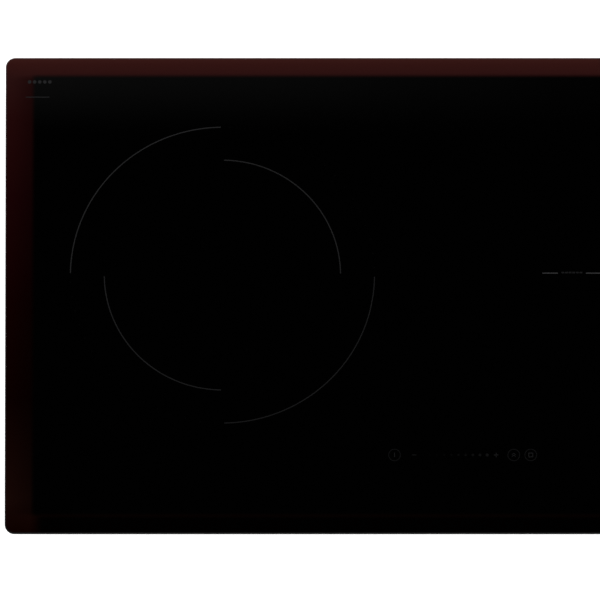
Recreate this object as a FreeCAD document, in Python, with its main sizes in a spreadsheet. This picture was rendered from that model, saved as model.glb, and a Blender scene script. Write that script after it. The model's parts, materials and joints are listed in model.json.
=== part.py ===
"""Built-in electric induction cooktop, 800 x 500 mm glass, as an assembly of separate pieces.

Frame: origin at the centre of the casing's underside, +X to the user's right, +Y to the rear, +Z up.
Every piece is modelled about its own origin and put in place by its Placement.
"""
import FreeCAD, Part
import math
import os

import Sketcher

V = FreeCAD.Vector
DOC = FreeCAD.newDocument("induction_cooktop")
SHEET = DOC.addObject("Spreadsheet::Sheet", "Sizes")

# Driving dimensions in millimetres, or degrees and counts where the note says so.
SIZES = [
    ("glass_width", 800, "glass, left to right"),
    ("glass_depth", 500, "glass, front to rear"),
    ("glass_thick", 4, "glass"),
    ("glass_corner", 10, "corner radius of the glass"),
    ("glass_level", 50, "underside of the glass above the casing's underside"),
    ("edge_bevel", 1.2, "ground bevel on the glass's upper edge"),
    ("casing_width", 744, "casing, outside"),
    ("casing_depth", 462, "casing, outside"),
    ("casing_high", 44, "casing, outside"),
    ("sheet_thick", 1, "casing sheet"),
    ("casing_corner", 8, "outer corner radius of the casing"),
    ("rail_wide", 10, "rail of the frame under the glass"),
    ("bead_thick", 0.6, "silicone between frame and glass"),
    ("bead_wide", 7, "silicone between frame and glass"),
    ("skirt_drop", 8, "frame's skirt inside the casing"),
    ("skirt_thick", 1.5, "frame's skirt"),
    ("seal_wide", 8, "foam seal under the glass overhang"),
    ("seal_thick", 2, "foam seal"),
    ("seal_inset", 2, "foam seal from the glass's edge"),
    ("slip", 0.2, "gap between pieces that do not move"),
    ("deck_level", 38, "underside of the coil deck"),
    ("deck_thick", 1.2, "coil deck sheet"),
    ("deck_width", 716, "coil deck"),
    ("deck_front", -149, "front edge of the coil deck"),
    ("deck_rear", 222, "rear edge of the coil deck"),
    ("post_across", 690, "deck posts, left to right"),
    ("zone_across", 178.7, "cooking zone centres, from the middle"),
    ("left_zone_y", 22.2, "left zone centre"),
    ("front_zone_y", -65.9, "right front zone centre"),
    ("rear_zone_y", 114.1, "right rear zone centre"),
    ("large_coil", 300, "left coil diameter"),
    ("small_coil", 170, "right coil diameter"),
    ("carrier_thick", 4, "coil carrier"),
    ("litz_thick", 5, "winding"),
    ("mica_thick", 1, "mica sheet"),
    ("ferrite_wide", 12, "ferrite bar"),
    ("sensor_r", 5, "sensor plunger stem"),
    ("sensor_run", 0.05, "running clearance of the plunger, radial"),
    ("sensor_cap_r", 7, "sensor cap"),
    ("sensor_cap_high", 3, "sensor cap"),
    ("sensor_stem", 15, "sensor stem below its cap"),
    ("sensor_gap", 0.1, "sensor cap below the glass"),
    ("spring_in", 0.5, "wave spring's bore beyond the stem, radial"),
    ("spring_out", 1.3, "wave spring's edge beyond the stem, radial"),
    ("spring_thick", 0.5, "wave spring, one turn"),
    ("board_level", 8, "underside of the lower boards"),
    ("board_thick", 1.6, "circuit boards"),
    ("power_across", 205, "left power board and fan, from the middle"),
    ("right_power_x", 96, "right power board and fan"),
    ("power_y", -15, "power board centre"),
    ("power_width", 250, "power board"),
    ("power_depth", 190, "power board"),
    ("sink_y", 52, "heatsink centre"),
    ("sink_width", 190, "heatsink"),
    ("sink_depth", 44, "heatsink"),
    ("sink_base", 4, "heatsink base"),
    ("sink_fin", 15, "heatsink fin height"),
    ("fin_thick", 1.6, "heatsink fin"),
    ("fin_count", 26, "heatsink fins, a count"),
    ("device_high", 5, "power device"),
    ("fan_y", 148, "fan centre"),
    ("fan_r", 54, "fan housing"),
    ("fan_high", 28, "fan housing"),
    ("fan_wall", 2, "fan housing"),
    ("fan_inlet_r", 38, "fan inlet"),
    ("wheel_r", 44, "impeller"),
    ("wheel_blade", 10, "impeller blade, radial depth"),
    ("wheel_low", 4, "impeller underside in its housing"),
    ("wheel_high", 17, "impeller"),
    ("wheel_wall", 1.2, "impeller"),
    ("blade_count", 30, "impeller blades, a count"),
    ("cup_r", 17, "impeller's hub cup"),
    ("axle_r", 1.5, "impeller axle"),
    ("axle_run", 0.05, "running clearance on the axle, radial"),
    ("filter_x", 318, "mains filter board"),
    ("filter_y", 64, "mains filter board"),
    ("filter_width", 100, "mains filter board"),
    ("filter_depth", 170, "mains filter board"),
    ("box_x", 284, "terminal box"),
    ("box_width", 96, "terminal box"),
    ("box_depth", 46, "terminal box"),
    ("box_high", 33, "terminal box"),
    ("box_level", 3, "terminal box underside"),
    ("box_wall", 2, "terminal box"),
    ("box_proud", 1.2, "terminal box beyond the casing's rear wall"),
    ("inlet_x", 36, "cable inlet from the terminal box's middle"),
    ("inlet_z", 18, "cable inlet above the box's underside"),
    ("inlet_r", 8, "cable inlet"),
    ("inlet_length", 6, "cable inlet, length of its wall"),
    ("lid_width", 66, "terminal lid"),
    ("lid_x", -14, "terminal lid from the terminal box's middle"),
    ("lid_high", 29, "terminal lid"),
    ("lid_thick", 2, "terminal lid"),
    ("hinge_r", 1.5, "terminal lid hinge pin"),
    ("hinge_run", 0.05, "running clearance on the hinge pin, radial"),
    ("hinge_out", 3.4, "terminal lid hinge line behind the box"),
    ("hinge_z", 4, "terminal lid hinge line above the box's underside"),
    ("control_x", 15, "control board centre"),
    ("control_y", -173, "control board centre"),
    ("control_width", 340, "control board"),
    ("control_depth", 38, "control board"),
    ("control_level", 44, "underside of the control board"),
    ("key_y", -166.8, "touch key row"),
    ("pad_r", 5, "touch key contact"),
    ("power_key_x", -2.8, "on/off key"),
    ("minus_key_x", 14, "minus key"),
    ("slide_first_x", 25.9, "first field of the slider"),
    ("slide_pitch", 16.5, "fields of the slider"),
    ("plus_key_x", 105, "plus key"),
    ("boost_key_x", 118.9, "boost key"),
    ("timer_key_x", 136.3, "timer key"),
    ("under_deck", 35.8, "leads that run below the deck"),
    ("left_landing_x", -95, "left leads on their board"),
    ("rear_landing_y", -20, "rear leads on their board"),
    ("clip_y", 150, "side clips from the middle"),
    ("clip_wide", 22, "side clip"),
    ("clip_thick", 0.8, "side clip"),
    ("clip_low", 9, "side clip hinge line above the casing's underside"),
    ("screw_r", 1.5, "sheet screws"),
    ("screw_head_r", 3.2, "sheet screws"),
    ("screw_head", 1.8, "sheet screws"),
    ("lead_r", 1.8, "coil lead"),
]


class Dim:
    """A size with its number and the sheet expression that gives it, so the two always agree."""

    def __init__(self, number, text):
        self.number = float(number)
        self.text = text

    def __add__(self, other):
        return Dim(self.number + num(other), f"({self.text} + {txt(other)})")

    def __radd__(self, other):
        return Dim(num(other) + self.number, f"({txt(other)} + {self.text})")

    def __sub__(self, other):
        return Dim(self.number - num(other), f"({self.text} - {txt(other)})")

    def __rsub__(self, other):
        return Dim(num(other) - self.number, f"({txt(other)} - {self.text})")

    def __mul__(self, other):
        return Dim(self.number * num(other), f"({self.text} * {txt(other)})")

    __rmul__ = __mul__

    def __truediv__(self, other):
        return Dim(self.number / num(other), f"({self.text} / {txt(other)})")

    def __neg__(self):
        return Dim(-self.number, f"(0 - {self.text})")


class Sizes:
    """The sheet's cells by alias: D.glass_width and so on."""


def num(value):
    """The plain number of a size."""
    return value.number if isinstance(value, Dim) else float(value)


def txt(value):
    """The sheet expression of a size."""
    return value.text if isinstance(value, Dim) else repr(float(value))


def mm(value):
    """A small size that stands by itself, in the form that the helpers work with."""
    return Dim(value, repr(float(value)))


def fill_sheet():
    """Write the driving dimensions into the sheet and return them by name."""
    named = Sizes()
    for row, (alias, value, note) in enumerate(SIZES, start=1):
        SHEET.set(f"A{row}", alias)
        SHEET.set(f"B{row}", str(value))
        SHEET.set(f"C{row}", note)
        SHEET.setAlias(f"B{row}", alias)
        setattr(named, alias, Dim(value, f"Sizes.{alias}"))
    DOC.recompute()
    return named


D = fill_sheet()
NODES = []


# ---------------------------------------------------------------- general helpers

def bind(obj, **sizes):
    """Bind properties of an object to the sheet."""
    for prop, value in sizes.items():
        obj.setExpression(prop, txt(value))
    return obj


def place(obj, x=0, y=0, z=0, turn=None):
    """Put an object at a place bound to the sheet, turned by an optional rotation first."""
    obj.Placement = FreeCAD.Placement(V(num(x), num(y), num(z)), turn or FreeCAD.Rotation())
    obj.setExpression("Placement.Base.x", txt(x))
    obj.setExpression("Placement.Base.y", txt(y))
    obj.setExpression("Placement.Base.z", txt(z))
    return obj


def node(obj, label):
    """Name an object as a piece of the assembly, to be exported."""
    obj.Label = label
    NODES.append(obj)
    return obj


def box(width, depth, high, x=0, y=0, z=0):
    """A box centred on x and y that stands on z."""
    solid = DOC.addObject("Part::Box", "Block")
    bind(solid, Length=width, Width=depth, Height=high)
    return place(solid, x - width / 2, y - depth / 2, z)


def cylinder(radius, high, x=0, y=0, z=0, axis="z"):
    """A cylinder from its start point along +X, +Y or +Z."""
    turns = {
        "x": FreeCAD.Rotation(V(0, 1, 0), 90),
        "y": FreeCAD.Rotation(V(1, 0, 0), -90),
        "z": FreeCAD.Rotation(),
    }
    solid = DOC.addObject("Part::Cylinder", "Round")
    bind(solid, Radius=radius, Height=high)
    return place(solid, x, y, z, turns[axis])


def cut(base, *tools):
    """Base less its tools."""
    whole = DOC.addObject("Part::Cut", "Cut")
    whole.Base = base
    whole.Tool = tools[0] if len(tools) == 1 else fuse(*tools)
    return whole


def fuse(*shapes):
    """Several solids joined into one."""
    whole = DOC.addObject("Part::MultiFuse", "Joined")
    whole.Shapes = list(shapes)
    return whole


def group(label, shapes, x=0, y=0, z=0):
    """Separate solids that share one piece name."""
    whole = DOC.addObject("Part::Compound", "Group")
    whole.Links = list(shapes)
    place(whole, x, y, z)
    return node(whole, label)


def body(label, x=0, y=0, z=0):
    """A PartDesign body that is one piece of the assembly."""
    made = DOC.addObject("PartDesign::Body", "Body")
    place(made, x, y, z)
    return node(made, label)


def sketch(owner, name, level=0, role="XY_Plane"):
    """A sketch on one of the body's own origin planes, moved along the plane's normal."""
    made = owner.newObject("Sketcher::SketchObject", name)
    plane = [part for part in owner.Origin.OriginFeatures if part.Role == role][0]
    made.AttachmentSupport = [(plane, "")]
    made.MapMode = "FlatFace"
    made.setExpression("AttachmentOffset.Base.z", txt(level))
    return made


def origin_axis(owner, role):
    """One of the body's own origin axes."""
    return [part for part in owner.Origin.OriginFeatures if part.Role == role][0]


def measure(drawing, kind, value, *where):
    """A driving dimension in a sketch, bound to the sheet, whatever its sign."""
    length = num(value)
    if abs(length) < 1e-9:
        return
    if length < 0:
        where = where[2:] + where[:2]
        value = -value
    index = drawing.addConstraint(Sketcher.Constraint(kind, *where, abs(length)))
    drawing.setExpression(f"Constraints[{index}]", txt(value))


def locate(drawing, item, point, x, y):
    """Tie a sketch point to x and y from the sketch's origin."""
    for kind, value in (("DistanceX", x), ("DistanceY", y)):
        if abs(num(value)) < 1e-9:
            straight = "Vertical" if kind == "DistanceX" else "Horizontal"
            drawing.addConstraint(Sketcher.Constraint(straight, item, point, -1, 1))
        else:
            measure(drawing, kind, value, -1, 1, item, point)


def circle(drawing, radius, x=0, y=0):
    """A full circle in a sketch."""
    item = drawing.addGeometry(Part.Circle(V(num(x), num(y), 0), V(0, 0, 1), num(radius)), False)
    locate(drawing, item, 3, x, y)
    index = drawing.addConstraint(Sketcher.Constraint("Radius", item, num(radius)))
    drawing.setExpression(f"Constraints[{index}]", txt(radius))


def rectangle(drawing, width, depth, x=0, y=0, corner=None):
    """A rectangle about x and y, with round corners if a radius is given."""
    radius = num(corner) if corner is not None else 0.0
    half_x, half_y = num(width) / 2, num(depth) / 2
    mid = V(num(x), num(y), 0)
    ends = [
        (V(-half_x + radius, -half_y, 0), V(half_x - radius, -half_y, 0)),
        (V(half_x, -half_y + radius, 0), V(half_x, half_y - radius, 0)),
        (V(half_x - radius, half_y, 0), V(-half_x + radius, half_y, 0)),
        (V(-half_x, half_y - radius, 0), V(-half_x, -half_y + radius, 0)),
    ]
    sides = [drawing.addGeometry(Part.LineSegment(mid + a, mid + b), False) for a, b in ends]
    arcs = []
    rules = [Sketcher.Constraint("Horizontal", sides[0]), Sketcher.Constraint("Horizontal", sides[2])]
    rules += [Sketcher.Constraint("Vertical", sides[1]), Sketcher.Constraint("Vertical", sides[3])]
    if corner is None:
        rules += [Sketcher.Constraint("Coincident", sides[i], 2, sides[(i + 1) % 4], 1) for i in range(4)]
    else:
        for i, (sx, sy) in enumerate(((1, -1), (1, 1), (-1, 1), (-1, -1))):
            centre = mid + V(sx * (half_x - radius), sy * (half_y - radius), 0)
            round_corner = Part.Circle(centre, V(0, 0, 1), radius)
            start = math.radians(-90 + 90 * i)
            arcs.append(drawing.addGeometry(
                Part.ArcOfCircle(round_corner, start, start + math.pi / 2), False))
            rules.append(Sketcher.Constraint("Tangent", sides[i], 2, arcs[i], 1))
        for i in range(4):
            rules.append(Sketcher.Constraint("Tangent", arcs[i], 2, sides[(i + 1) % 4], 1))
        rules += [Sketcher.Constraint("Equal", arcs[0], arcs[i]) for i in (1, 2, 3)]
    drawing.addConstraint(rules)
    # width between the two upright sides, depth between the two level sides
    measure(drawing, "DistanceX", width, sides[3], 1, sides[1], 1)
    measure(drawing, "DistanceY", depth, sides[0], 1, sides[2], 1)
    measure(drawing, "DistanceX", x - width / 2, -1, 1, sides[3], 1)
    measure(drawing, "DistanceY", y - depth / 2, -1, 1, sides[0], 1)
    if corner is not None:
        index = drawing.addConstraint(Sketcher.Constraint("Radius", arcs[0], radius))
        drawing.setExpression(f"Constraints[{index}]", txt(corner))


def slot(drawing, length, width, x, y, upright=False):
    """A slot with round ends in a sketch."""
    corner = width / 2 * 0.96
    if upright:
        rectangle(drawing, width, length, x, y, corner)
    else:
        rectangle(drawing, length, width, x, y, corner)


def polygon(drawing, points):
    """A closed outline of straight edges through points of bound sizes."""
    plain = [V(num(x), num(y), 0) for x, y in points]
    count = len(points)
    sides = []
    for i in range(count):
        sides.append(drawing.addGeometry(Part.LineSegment(plain[i], plain[(i + 1) % count]), False))
    for i in range(count):
        drawing.addConstraint(Sketcher.Constraint("Coincident", sides[i], 2, sides[(i + 1) % count], 1))
    for side, (x, y) in zip(sides, points):
        locate(drawing, side, 1, x, y)


def pad(owner, drawing, length, name="Pad"):
    """Material added from a sketch along its normal."""
    made = owner.newObject("PartDesign::Pad", name)
    made.Profile = drawing
    made.setExpression("Length", txt(length))
    drawing.Visibility = False
    DOC.recompute()
    return made


def pocket(owner, drawing, length, reverse=True, name="Pocket"):
    """Material cut from a sketch, and checked: a pocket that cuts nothing stops the script."""
    before = owner.Shape.Volume
    made = owner.newObject("PartDesign::Pocket", name)
    made.Profile = drawing
    made.setExpression("Length", txt(length))
    made.Reversed = reverse
    DOC.recompute()
    if not owner.Shape.Volume < before - 1e-3:
        raise RuntimeError(f"{owner.Label}: {name} cuts nothing")
    return made


def revolve(owner, drawing, name="Revolution"):
    """A sketch on the XZ plane turned about the body's own Z axis."""
    made = owner.newObject("PartDesign::Revolution", name)
    made.Profile = drawing
    made.ReferenceAxis = (drawing, ["V_Axis"])
    made.Angle = 360
    DOC.recompute()
    return made


def repeat_along(owner, feature, role, step, count, name="Row"):
    """A row of copies of a feature along an origin axis of the body."""
    made = owner.newObject("PartDesign::LinearPattern", name)
    made.Originals = [feature]
    made.Direction = (origin_axis(owner, role), [""])
    made.setExpression("Length", txt(step * (count - 1)))
    made.Occurrences = int(num(count))
    owner.Tip = made
    DOC.recompute()
    return made


def repeat_round(owner, feature, count, name="Circle"):
    """Copies of a feature round the body's own Z axis."""
    made = owner.newObject("PartDesign::PolarPattern", name)
    made.Originals = [feature]
    made.Axis = (origin_axis(owner, "Z_Axis"), [""])
    made.Angle = 360
    made.Occurrences = int(num(count))
    owner.Tip = made
    DOC.recompute()
    return made


# ---------------------------------------------------------------- glass, frame and casing

def glass_top():
    """The glass-ceramic top with its ground upper edge."""
    glass = body("glass_top", z=D.glass_level)
    outline = sketch(glass, "GlassOutline")
    rectangle(outline, D.glass_width, D.glass_depth, corner=D.glass_corner)
    slab = pad(glass, outline, D.glass_thick, "Slab")
    bevel = glass.newObject("PartDesign::Chamfer", "GroundEdge")
    top = max(range(len(slab.Shape.Faces)), key=lambda i: slab.Shape.Faces[i].CenterOfMass.z)
    bevel.Base = (slab, [f"Face{top + 1}"])
    bevel.setExpression("Size", txt(D.edge_bevel))
    DOC.recompute()


def ring_body(label, width, depth, rail, thick, corner, level):
    """A closed frame of one rectangular section."""
    ring = body(label, z=level)
    outline = sketch(ring, "RingOutline")
    rectangle(outline, width, depth, corner=corner)
    rectangle(outline, width - rail * 2, depth - rail * 2, corner=corner / 2)
    pad(ring, outline, thick, "Rail")
    return ring


def rim_seal():
    """The foam seal that the glass rests on the worktop with."""
    inset = D.seal_inset * 2
    ring_body("rim_seal", D.glass_width - inset, D.glass_depth - inset, D.seal_wide, D.seal_thick,
              D.glass_corner - D.seal_inset, D.glass_level - D.seal_thick)


def bond_bead():
    """The silicone that bonds the frame to the glass."""
    inset = D.rail_wide - D.bead_wide
    ring_body("bond_bead", D.casing_width - inset, D.casing_depth - inset, D.bead_wide, D.bead_thick,
              D.casing_corner, D.glass_level - D.bead_thick)


def wall_screw_places():
    """Places along X and along Y of the screws that hold the frame in the casing."""
    return [-280, -60, 160], [-60, 80]


def glass_frame():
    """The frame under the glass: a flat rail and a skirt that drops inside the casing."""
    rail_high = D.glass_level - D.bead_thick - D.casing_high
    frame = ring_body("glass_frame", D.casing_width, D.casing_depth, D.rail_wide, rail_high,
                      D.casing_corner, D.casing_high)
    inset = (D.sheet_thick + D.slip) * 2
    skirt = sketch(frame, "SkirtOutline", -D.skirt_drop)
    wide, deep = D.casing_width - inset, D.casing_depth - inset
    rectangle(skirt, wide, deep, corner=D.casing_corner - inset / 2)
    rectangle(skirt, wide - D.skirt_thick * 2, deep - D.skirt_thick * 2, corner=D.casing_corner / 2)
    pad(frame, skirt, D.skirt_drop + rail_high / 2, "Skirt")
    wall_holes(frame, -D.skirt_drop / 2)


def wall_holes(owner, level):
    """Screw holes through the front and rear walls and through the two side walls."""
    along, across = wall_screw_places()
    ends = sketch(owner, "FrontRearHoles", -D.casing_depth, "XZ_Plane")
    for x in along:
        circle(ends, D.screw_r + D.sensor_run, x, level)
    pocket(owner, ends, D.casing_depth * 2, True, "FrontRearHoles")
    sides = sketch(owner, "SideHoles", -D.casing_width, "YZ_Plane")
    for y in across:
        circle(sides, D.screw_r + D.sensor_run, y, level)
    pocket(owner, sides, D.casing_width * 2, True, "SideHoles")


def lower_casing():
    """The sheet-metal tray, with fan intakes in its floor and air outlets in its front wall."""
    tray = body("lower_casing")
    outline = sketch(tray, "TrayOutline")
    rectangle(outline, D.casing_width, D.casing_depth, corner=D.casing_corner)
    pad(tray, outline, D.casing_high, "Block")
    inside = sketch(tray, "TrayInside", D.sheet_thick)
    thick = D.sheet_thick * 2
    rectangle(inside, D.casing_width - thick, D.casing_depth - thick, corner=D.casing_corner - D.sheet_thick)
    pocket(tray, inside, D.casing_high, True, "Inside")
    fan_intakes(tray)
    front_outlets(tray)
    terminal_window(tray)
    wall_holes(tray, D.casing_high - D.skirt_drop / 2)


def fan_intakes(tray):
    """Two fields of slots in the floor, one under each fan inlet."""
    slot_wide, slot_long, pitch, rows = mm(3), mm(34), mm(6), mm(13)
    first = sketch(tray, "IntakeSlots")
    low = D.fan_y - pitch * (rows - 1) / 2
    for fan_x in (-D.power_across, D.right_power_x):
        for side in (-1, 1):
            slot(first, slot_long, slot_wide, fan_x + side * 19.5, low)
    row = pocket(tray, first, D.sheet_thick * 2, True, "IntakeRow")
    repeat_along(tray, row, "Y_Axis", pitch, rows, "IntakeField")


def front_outlets(tray):
    """Two rows of upright slots in the front wall, in line with the heatsinks."""
    pitch, count, high = mm(8), mm(22), mm(18)
    first = sketch(tray, "OutletSlots", D.casing_depth / 2 - D.sheet_thick * 2, "XZ_Plane")
    for x in (-D.power_across, D.right_power_x):
        slot(first, high, mm(3), x - pitch * (count - 1) / 2, D.casing_high / 2 - 2, True)
    row = pocket(tray, first, D.sheet_thick * 4, True, "OutletPair")
    repeat_along(tray, row, "X_Axis", pitch, count, "OutletRow")


def terminal_window(tray):
    """The window in the rear wall that the terminal box stands in."""
    window = sketch(tray, "TerminalWindow", -D.casing_depth / 2 - D.sheet_thick * 2, "XZ_Plane")
    gap = D.slip * 2
    rectangle(window, D.box_width + gap, D.box_high + gap, D.box_x, D.box_level + D.box_high / 2)
    pocket(tray, window, D.sheet_thick * 4, True, "TerminalWindow")


def sheet_screws():
    """Pan-head screws through the casing's walls into the frame's skirt, and down into the deck's posts."""
    along, across = wall_screw_places()
    level = D.casing_high - D.skirt_drop / 2
    shank = mm(4)
    made = []
    for x in along:
        for side in (-1, 1):
            made.append(wall_screw("y", side, x, D.casing_depth / 2, level, shank))
    for y in across:
        for side in (-1, 1):
            made.append(wall_screw("x", side, D.casing_width / 2, y, level, shank))
    deck_top = D.deck_level + D.deck_thick
    long_shank = mm(7)
    for x, y in post_places():
        head = cylinder(D.screw_head_r, D.screw_head, x, y, deck_top)
        made.append(fuse(head, cylinder(D.screw_r, long_shank, x, y, deck_top - long_shank)))
    group("sheet_screws", made)


def wall_screw(axis, side, x, y, z, shank):
    """One screw, its head on the outside of the wall on the given side."""
    head_from = 0 if side > 0 else -D.screw_head
    shank_from = -shank if side > 0 else 0
    if axis == "y":
        head = cylinder(D.screw_head_r, D.screw_head, x, y * side + head_from, z, "y")
        stem = cylinder(D.screw_r, shank, x, y * side + shank_from, z, "y")
    else:
        head = cylinder(D.screw_head_r, D.screw_head, x * side + head_from, y, z, "x")
        stem = cylinder(D.screw_r, shank, x * side + shank_from, y, z, "x")
    return fuse(head, stem)


# ---------------------------------------------------------------- coil deck and coils

def zone_places():
    """Name, centre and coil diameter of each cooking zone."""
    return [
        ("left", -D.zone_across, D.left_zone_y, D.large_coil),
        ("front", D.zone_across, D.front_zone_y, D.small_coil),
        ("rear", D.zone_across, D.rear_zone_y, D.small_coil),
    ]


def lead_places():
    """Where each coil's leads pass down through the deck."""
    return {
        "left": (-D.zone_across + D.large_coil / 2 + 6, D.left_zone_y - 20),
        "front": (D.zone_across - D.small_coil / 2 - 8, D.front_zone_y),
        "rear": (D.zone_across - D.small_coil / 2 - 8, D.rear_zone_y),
    }


def coil_deck():
    """The aluminium sheet that carries the coils."""
    depth = D.deck_rear - D.deck_front
    middle = (D.deck_rear + D.deck_front) / 2
    deck = body("coil_deck", z=D.deck_level)
    outline = sketch(deck, "DeckOutline")
    rectangle(outline, D.deck_width, depth, 0, middle, mm(6))
    for _, x, y, _ in zone_places():
        circle(outline, D.sensor_cap_r + 2, x, y)
    for x, y in lead_places().values():
        rectangle(outline, mm(10), mm(26), x, y, D.lead_r)
    for x, y in post_places():
        circle(outline, D.screw_r + D.sensor_run, x, y)
    pad(deck, outline, D.deck_thick, "Sheet")


def post_places():
    """Places of the posts that hold the coil deck up."""
    places = []
    for x in (-D.post_across / 2, mm(0) - 18, D.post_across / 2):
        for y in (D.deck_front + 8, D.deck_rear - 8):
            places.append((x, y))
    return places


def deck_posts():
    """Six posts between the casing's floor and the coil deck."""
    high = D.deck_level - D.sheet_thick
    made = []
    for x, y in post_places():
        post = cylinder(mm(4), high, x, y)
        made.append(cut(post, cylinder(D.screw_r + D.sensor_run, mm(9), x, y, high - 9)))
    group("deck_posts", made, z=D.sheet_thick)


def ferrite_plan(coil):
    """Count and inner radius of a coil's ferrite bars."""
    return (12, 50) if num(coil) > 200 else (8, 26)


def coil_carrier(zone, x, y, coil):
    """The moulded disc with slots for the ferrite bars and a guide sleeve for the sensor."""
    level = D.deck_level + D.deck_thick
    count, inner = ferrite_plan(coil)
    disc = body(f"{zone}_coil_carrier", x, y, level)
    outline = sketch(disc, "DiscOutline")
    circle(outline, coil / 2)
    circle(outline, D.sensor_r + D.sensor_run)
    pad(disc, outline, D.carrier_thick, "Disc")
    bars = sketch(disc, "FerriteSlot")
    gap = D.slip * 2
    bar = coil / 2 - 8 - inner
    rectangle(bars, bar + gap, D.ferrite_wide + gap, bar / 2 + inner, 0)
    first = pocket(disc, bars, D.carrier_thick, True, "FerriteSlot")
    repeat_round(disc, first, mm(count), "FerriteSlots")


def ferrites(zone, x, y, coil):
    """Radial ferrite bars in the carrier's slots."""
    count, inner = ferrite_plan(coil)
    bar = coil / 2 - 8 - inner
    level = D.deck_level + D.deck_thick
    made = []
    for i in range(count):
        block = DOC.addObject("Part::Box", "Bar")
        bind(block, Length=bar, Width=D.ferrite_wide, Height=D.carrier_thick - D.slip)
        turn = FreeCAD.Rotation(V(0, 0, 1), 360 * i / count)
        start = turn.multVec(V(inner, -num(D.ferrite_wide) / 2, 0))
        block.Placement = FreeCAD.Placement(start, turn)
        made.append(block)
    group(f"{zone}_ferrites", made, x, y, level)


def winding(label, x, y, inner, outer):
    """A flat coil of litz wire, as one ring with rounded rims."""
    level = D.deck_level + D.deck_thick + D.carrier_thick
    ring = body(label, x, y, level)
    section = sketch(ring, "CoilSection", 0, "XZ_Plane")
    rectangle(section, outer - inner, D.litz_thick, (outer + inner) / 2, D.litz_thick / 2,
              D.litz_thick * 0.42)
    revolve(ring, section, "Coil")


def mica(zone, x, y, coil):
    """The mica disc over the winding, open round the sensor."""
    level = D.deck_level + D.deck_thick + D.carrier_thick + D.litz_thick
    disc = body(f"{zone}_mica", x, y, level)
    outline = sketch(disc, "MicaOutline")
    circle(outline, coil / 2 - 1)
    circle(outline, D.sensor_cap_r + 3)
    pad(disc, outline, D.mica_thick, "Sheet")


def cap_level():
    """Top of the sensor cap."""
    return D.glass_level - D.sensor_gap


def sensor(zone, x, y):
    """The spring-loaded plunger that holds the temperature sensor against the glass."""
    plunger = body(f"{zone}_sensor", x, y, cap_level())
    section = sketch(plunger, "PlungerSection", 0, "XZ_Plane")
    foot_r, foot_high = D.sensor_r + 1, mm(1.5)
    low = -D.sensor_cap_high - D.sensor_stem
    zero = mm(0)
    polygon(section, [
        (zero, zero),
        (zero, low),
        (foot_r, low),
        (foot_r, low + foot_high),
        (D.sensor_r, low + foot_high),
        (D.sensor_r, -D.sensor_cap_high),
        (D.sensor_cap_r, -D.sensor_cap_high),
        (D.sensor_cap_r, zero),
    ])
    revolve(plunger, section, "Plunger")


def sensor_spring(zone, x, y):
    """The wave spring between the carrier and the sensor's cap: three flat turns joined crest to crest."""
    low = D.deck_level + D.deck_thick + D.carrier_thick
    room = cap_level() - D.sensor_cap_high - low
    outer, inner = D.sensor_r + D.spring_out, D.sensor_r + D.spring_in
    crest = outer - inner
    step = (room - D.spring_thick) / 2
    turns = [cylinder(outer, D.spring_thick, 0, 0, turn * step) for turn in range(3)]
    first = [box(crest, crest, step, side * (outer + inner) / 2, 0, 0) for side in (-1, 1)]
    second = [box(crest, crest, step, 0, side * (outer + inner) / 2, step) for side in (-1, 1)]
    spring = cut(fuse(*turns, *first, *second), cylinder(inner, room))
    place(spring, x, y, low)
    node(spring, f"{zone}_sensor_spring")


# ---------------------------------------------------------------- power electronics

def power_places():
    """Name and centre X of each power unit."""
    return [("left", -D.power_across), ("right", D.right_power_x)]


def board_holes(width, depth):
    """Corner holes of a board."""
    return [(sx * (width / 2 - 6), sy * (depth / 2 - 6)) for sx in (-1, 1) for sy in (-1, 1)]


def board(label, width, depth, x, y, level):
    """A bare circuit board with a screw hole in each corner."""
    plate = body(label, x, y, level)
    outline = sketch(plate, "BoardOutline")
    rectangle(outline, width, depth, corner=mm(2))
    for hx, hy in board_holes(width, depth):
        circle(outline, D.screw_r + D.sensor_run, hx, hy)
    pad(plate, outline, D.board_thick, "Board")


def lower_boards():
    """Label, width, depth and centre of each board on the casing's floor."""
    rows = [(f"{side}_power_board", D.power_width, D.power_depth, x, D.power_y) for side, x in power_places()]
    rows.append(("filter_board", D.filter_width, D.filter_depth, D.filter_x, D.filter_y))
    return rows


def board_standoffs():
    """Stand-offs under the corners of the lower boards."""
    high = D.board_level - D.sheet_thick
    made = []
    for _, width, depth, x, y in lower_boards():
        for hx, hy in board_holes(width, depth):
            made.append(cylinder(mm(3.5), high, x + hx, y + hy))
    group("board_standoffs", made, z=D.sheet_thick)


def heatsink(side, x):
    """An extruded heatsink: a base plate on two feet, with upright fins along the air path."""
    level = D.board_level + D.board_thick
    sink = body(f"{side}_heatsink", x, D.sink_y, level)
    foot = mm(4)
    feet = sketch(sink, "FeetOutline")
    for end in (-1, 1):
        rectangle(feet, foot, D.sink_depth, end * (D.sink_width / 2 - foot / 2), 0)
    base = sketch(sink, "BaseOutline", D.device_high)
    rectangle(base, D.sink_width, D.sink_depth)
    pad(sink, base, D.sink_base, "Base")
    pad(sink, feet, D.device_high, "Feet")
    fin = sketch(sink, "FinOutline", D.device_high + D.sink_base)
    rectangle(fin, D.fin_thick, D.sink_depth, D.fin_thick / 2 - D.sink_width / 2, 0)
    first = pad(sink, fin, D.sink_fin, "Fin")
    pitch = (D.sink_width - D.fin_thick) / (D.fin_count - 1)
    repeat_along(sink, first, "X_Axis", pitch, D.fin_count, "Fins")


def power_devices():
    """Flat transistors and a rectifier under each heatsink's base."""
    level = D.board_level + D.board_thick
    made = []
    for _, x in power_places():
        for i in range(5):
            made.append(box(mm(16), mm(21), D.device_high - D.slip,
                            x + (i - 2) * 32, D.sink_y))
    group("power_devices", made, z=level)


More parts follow.
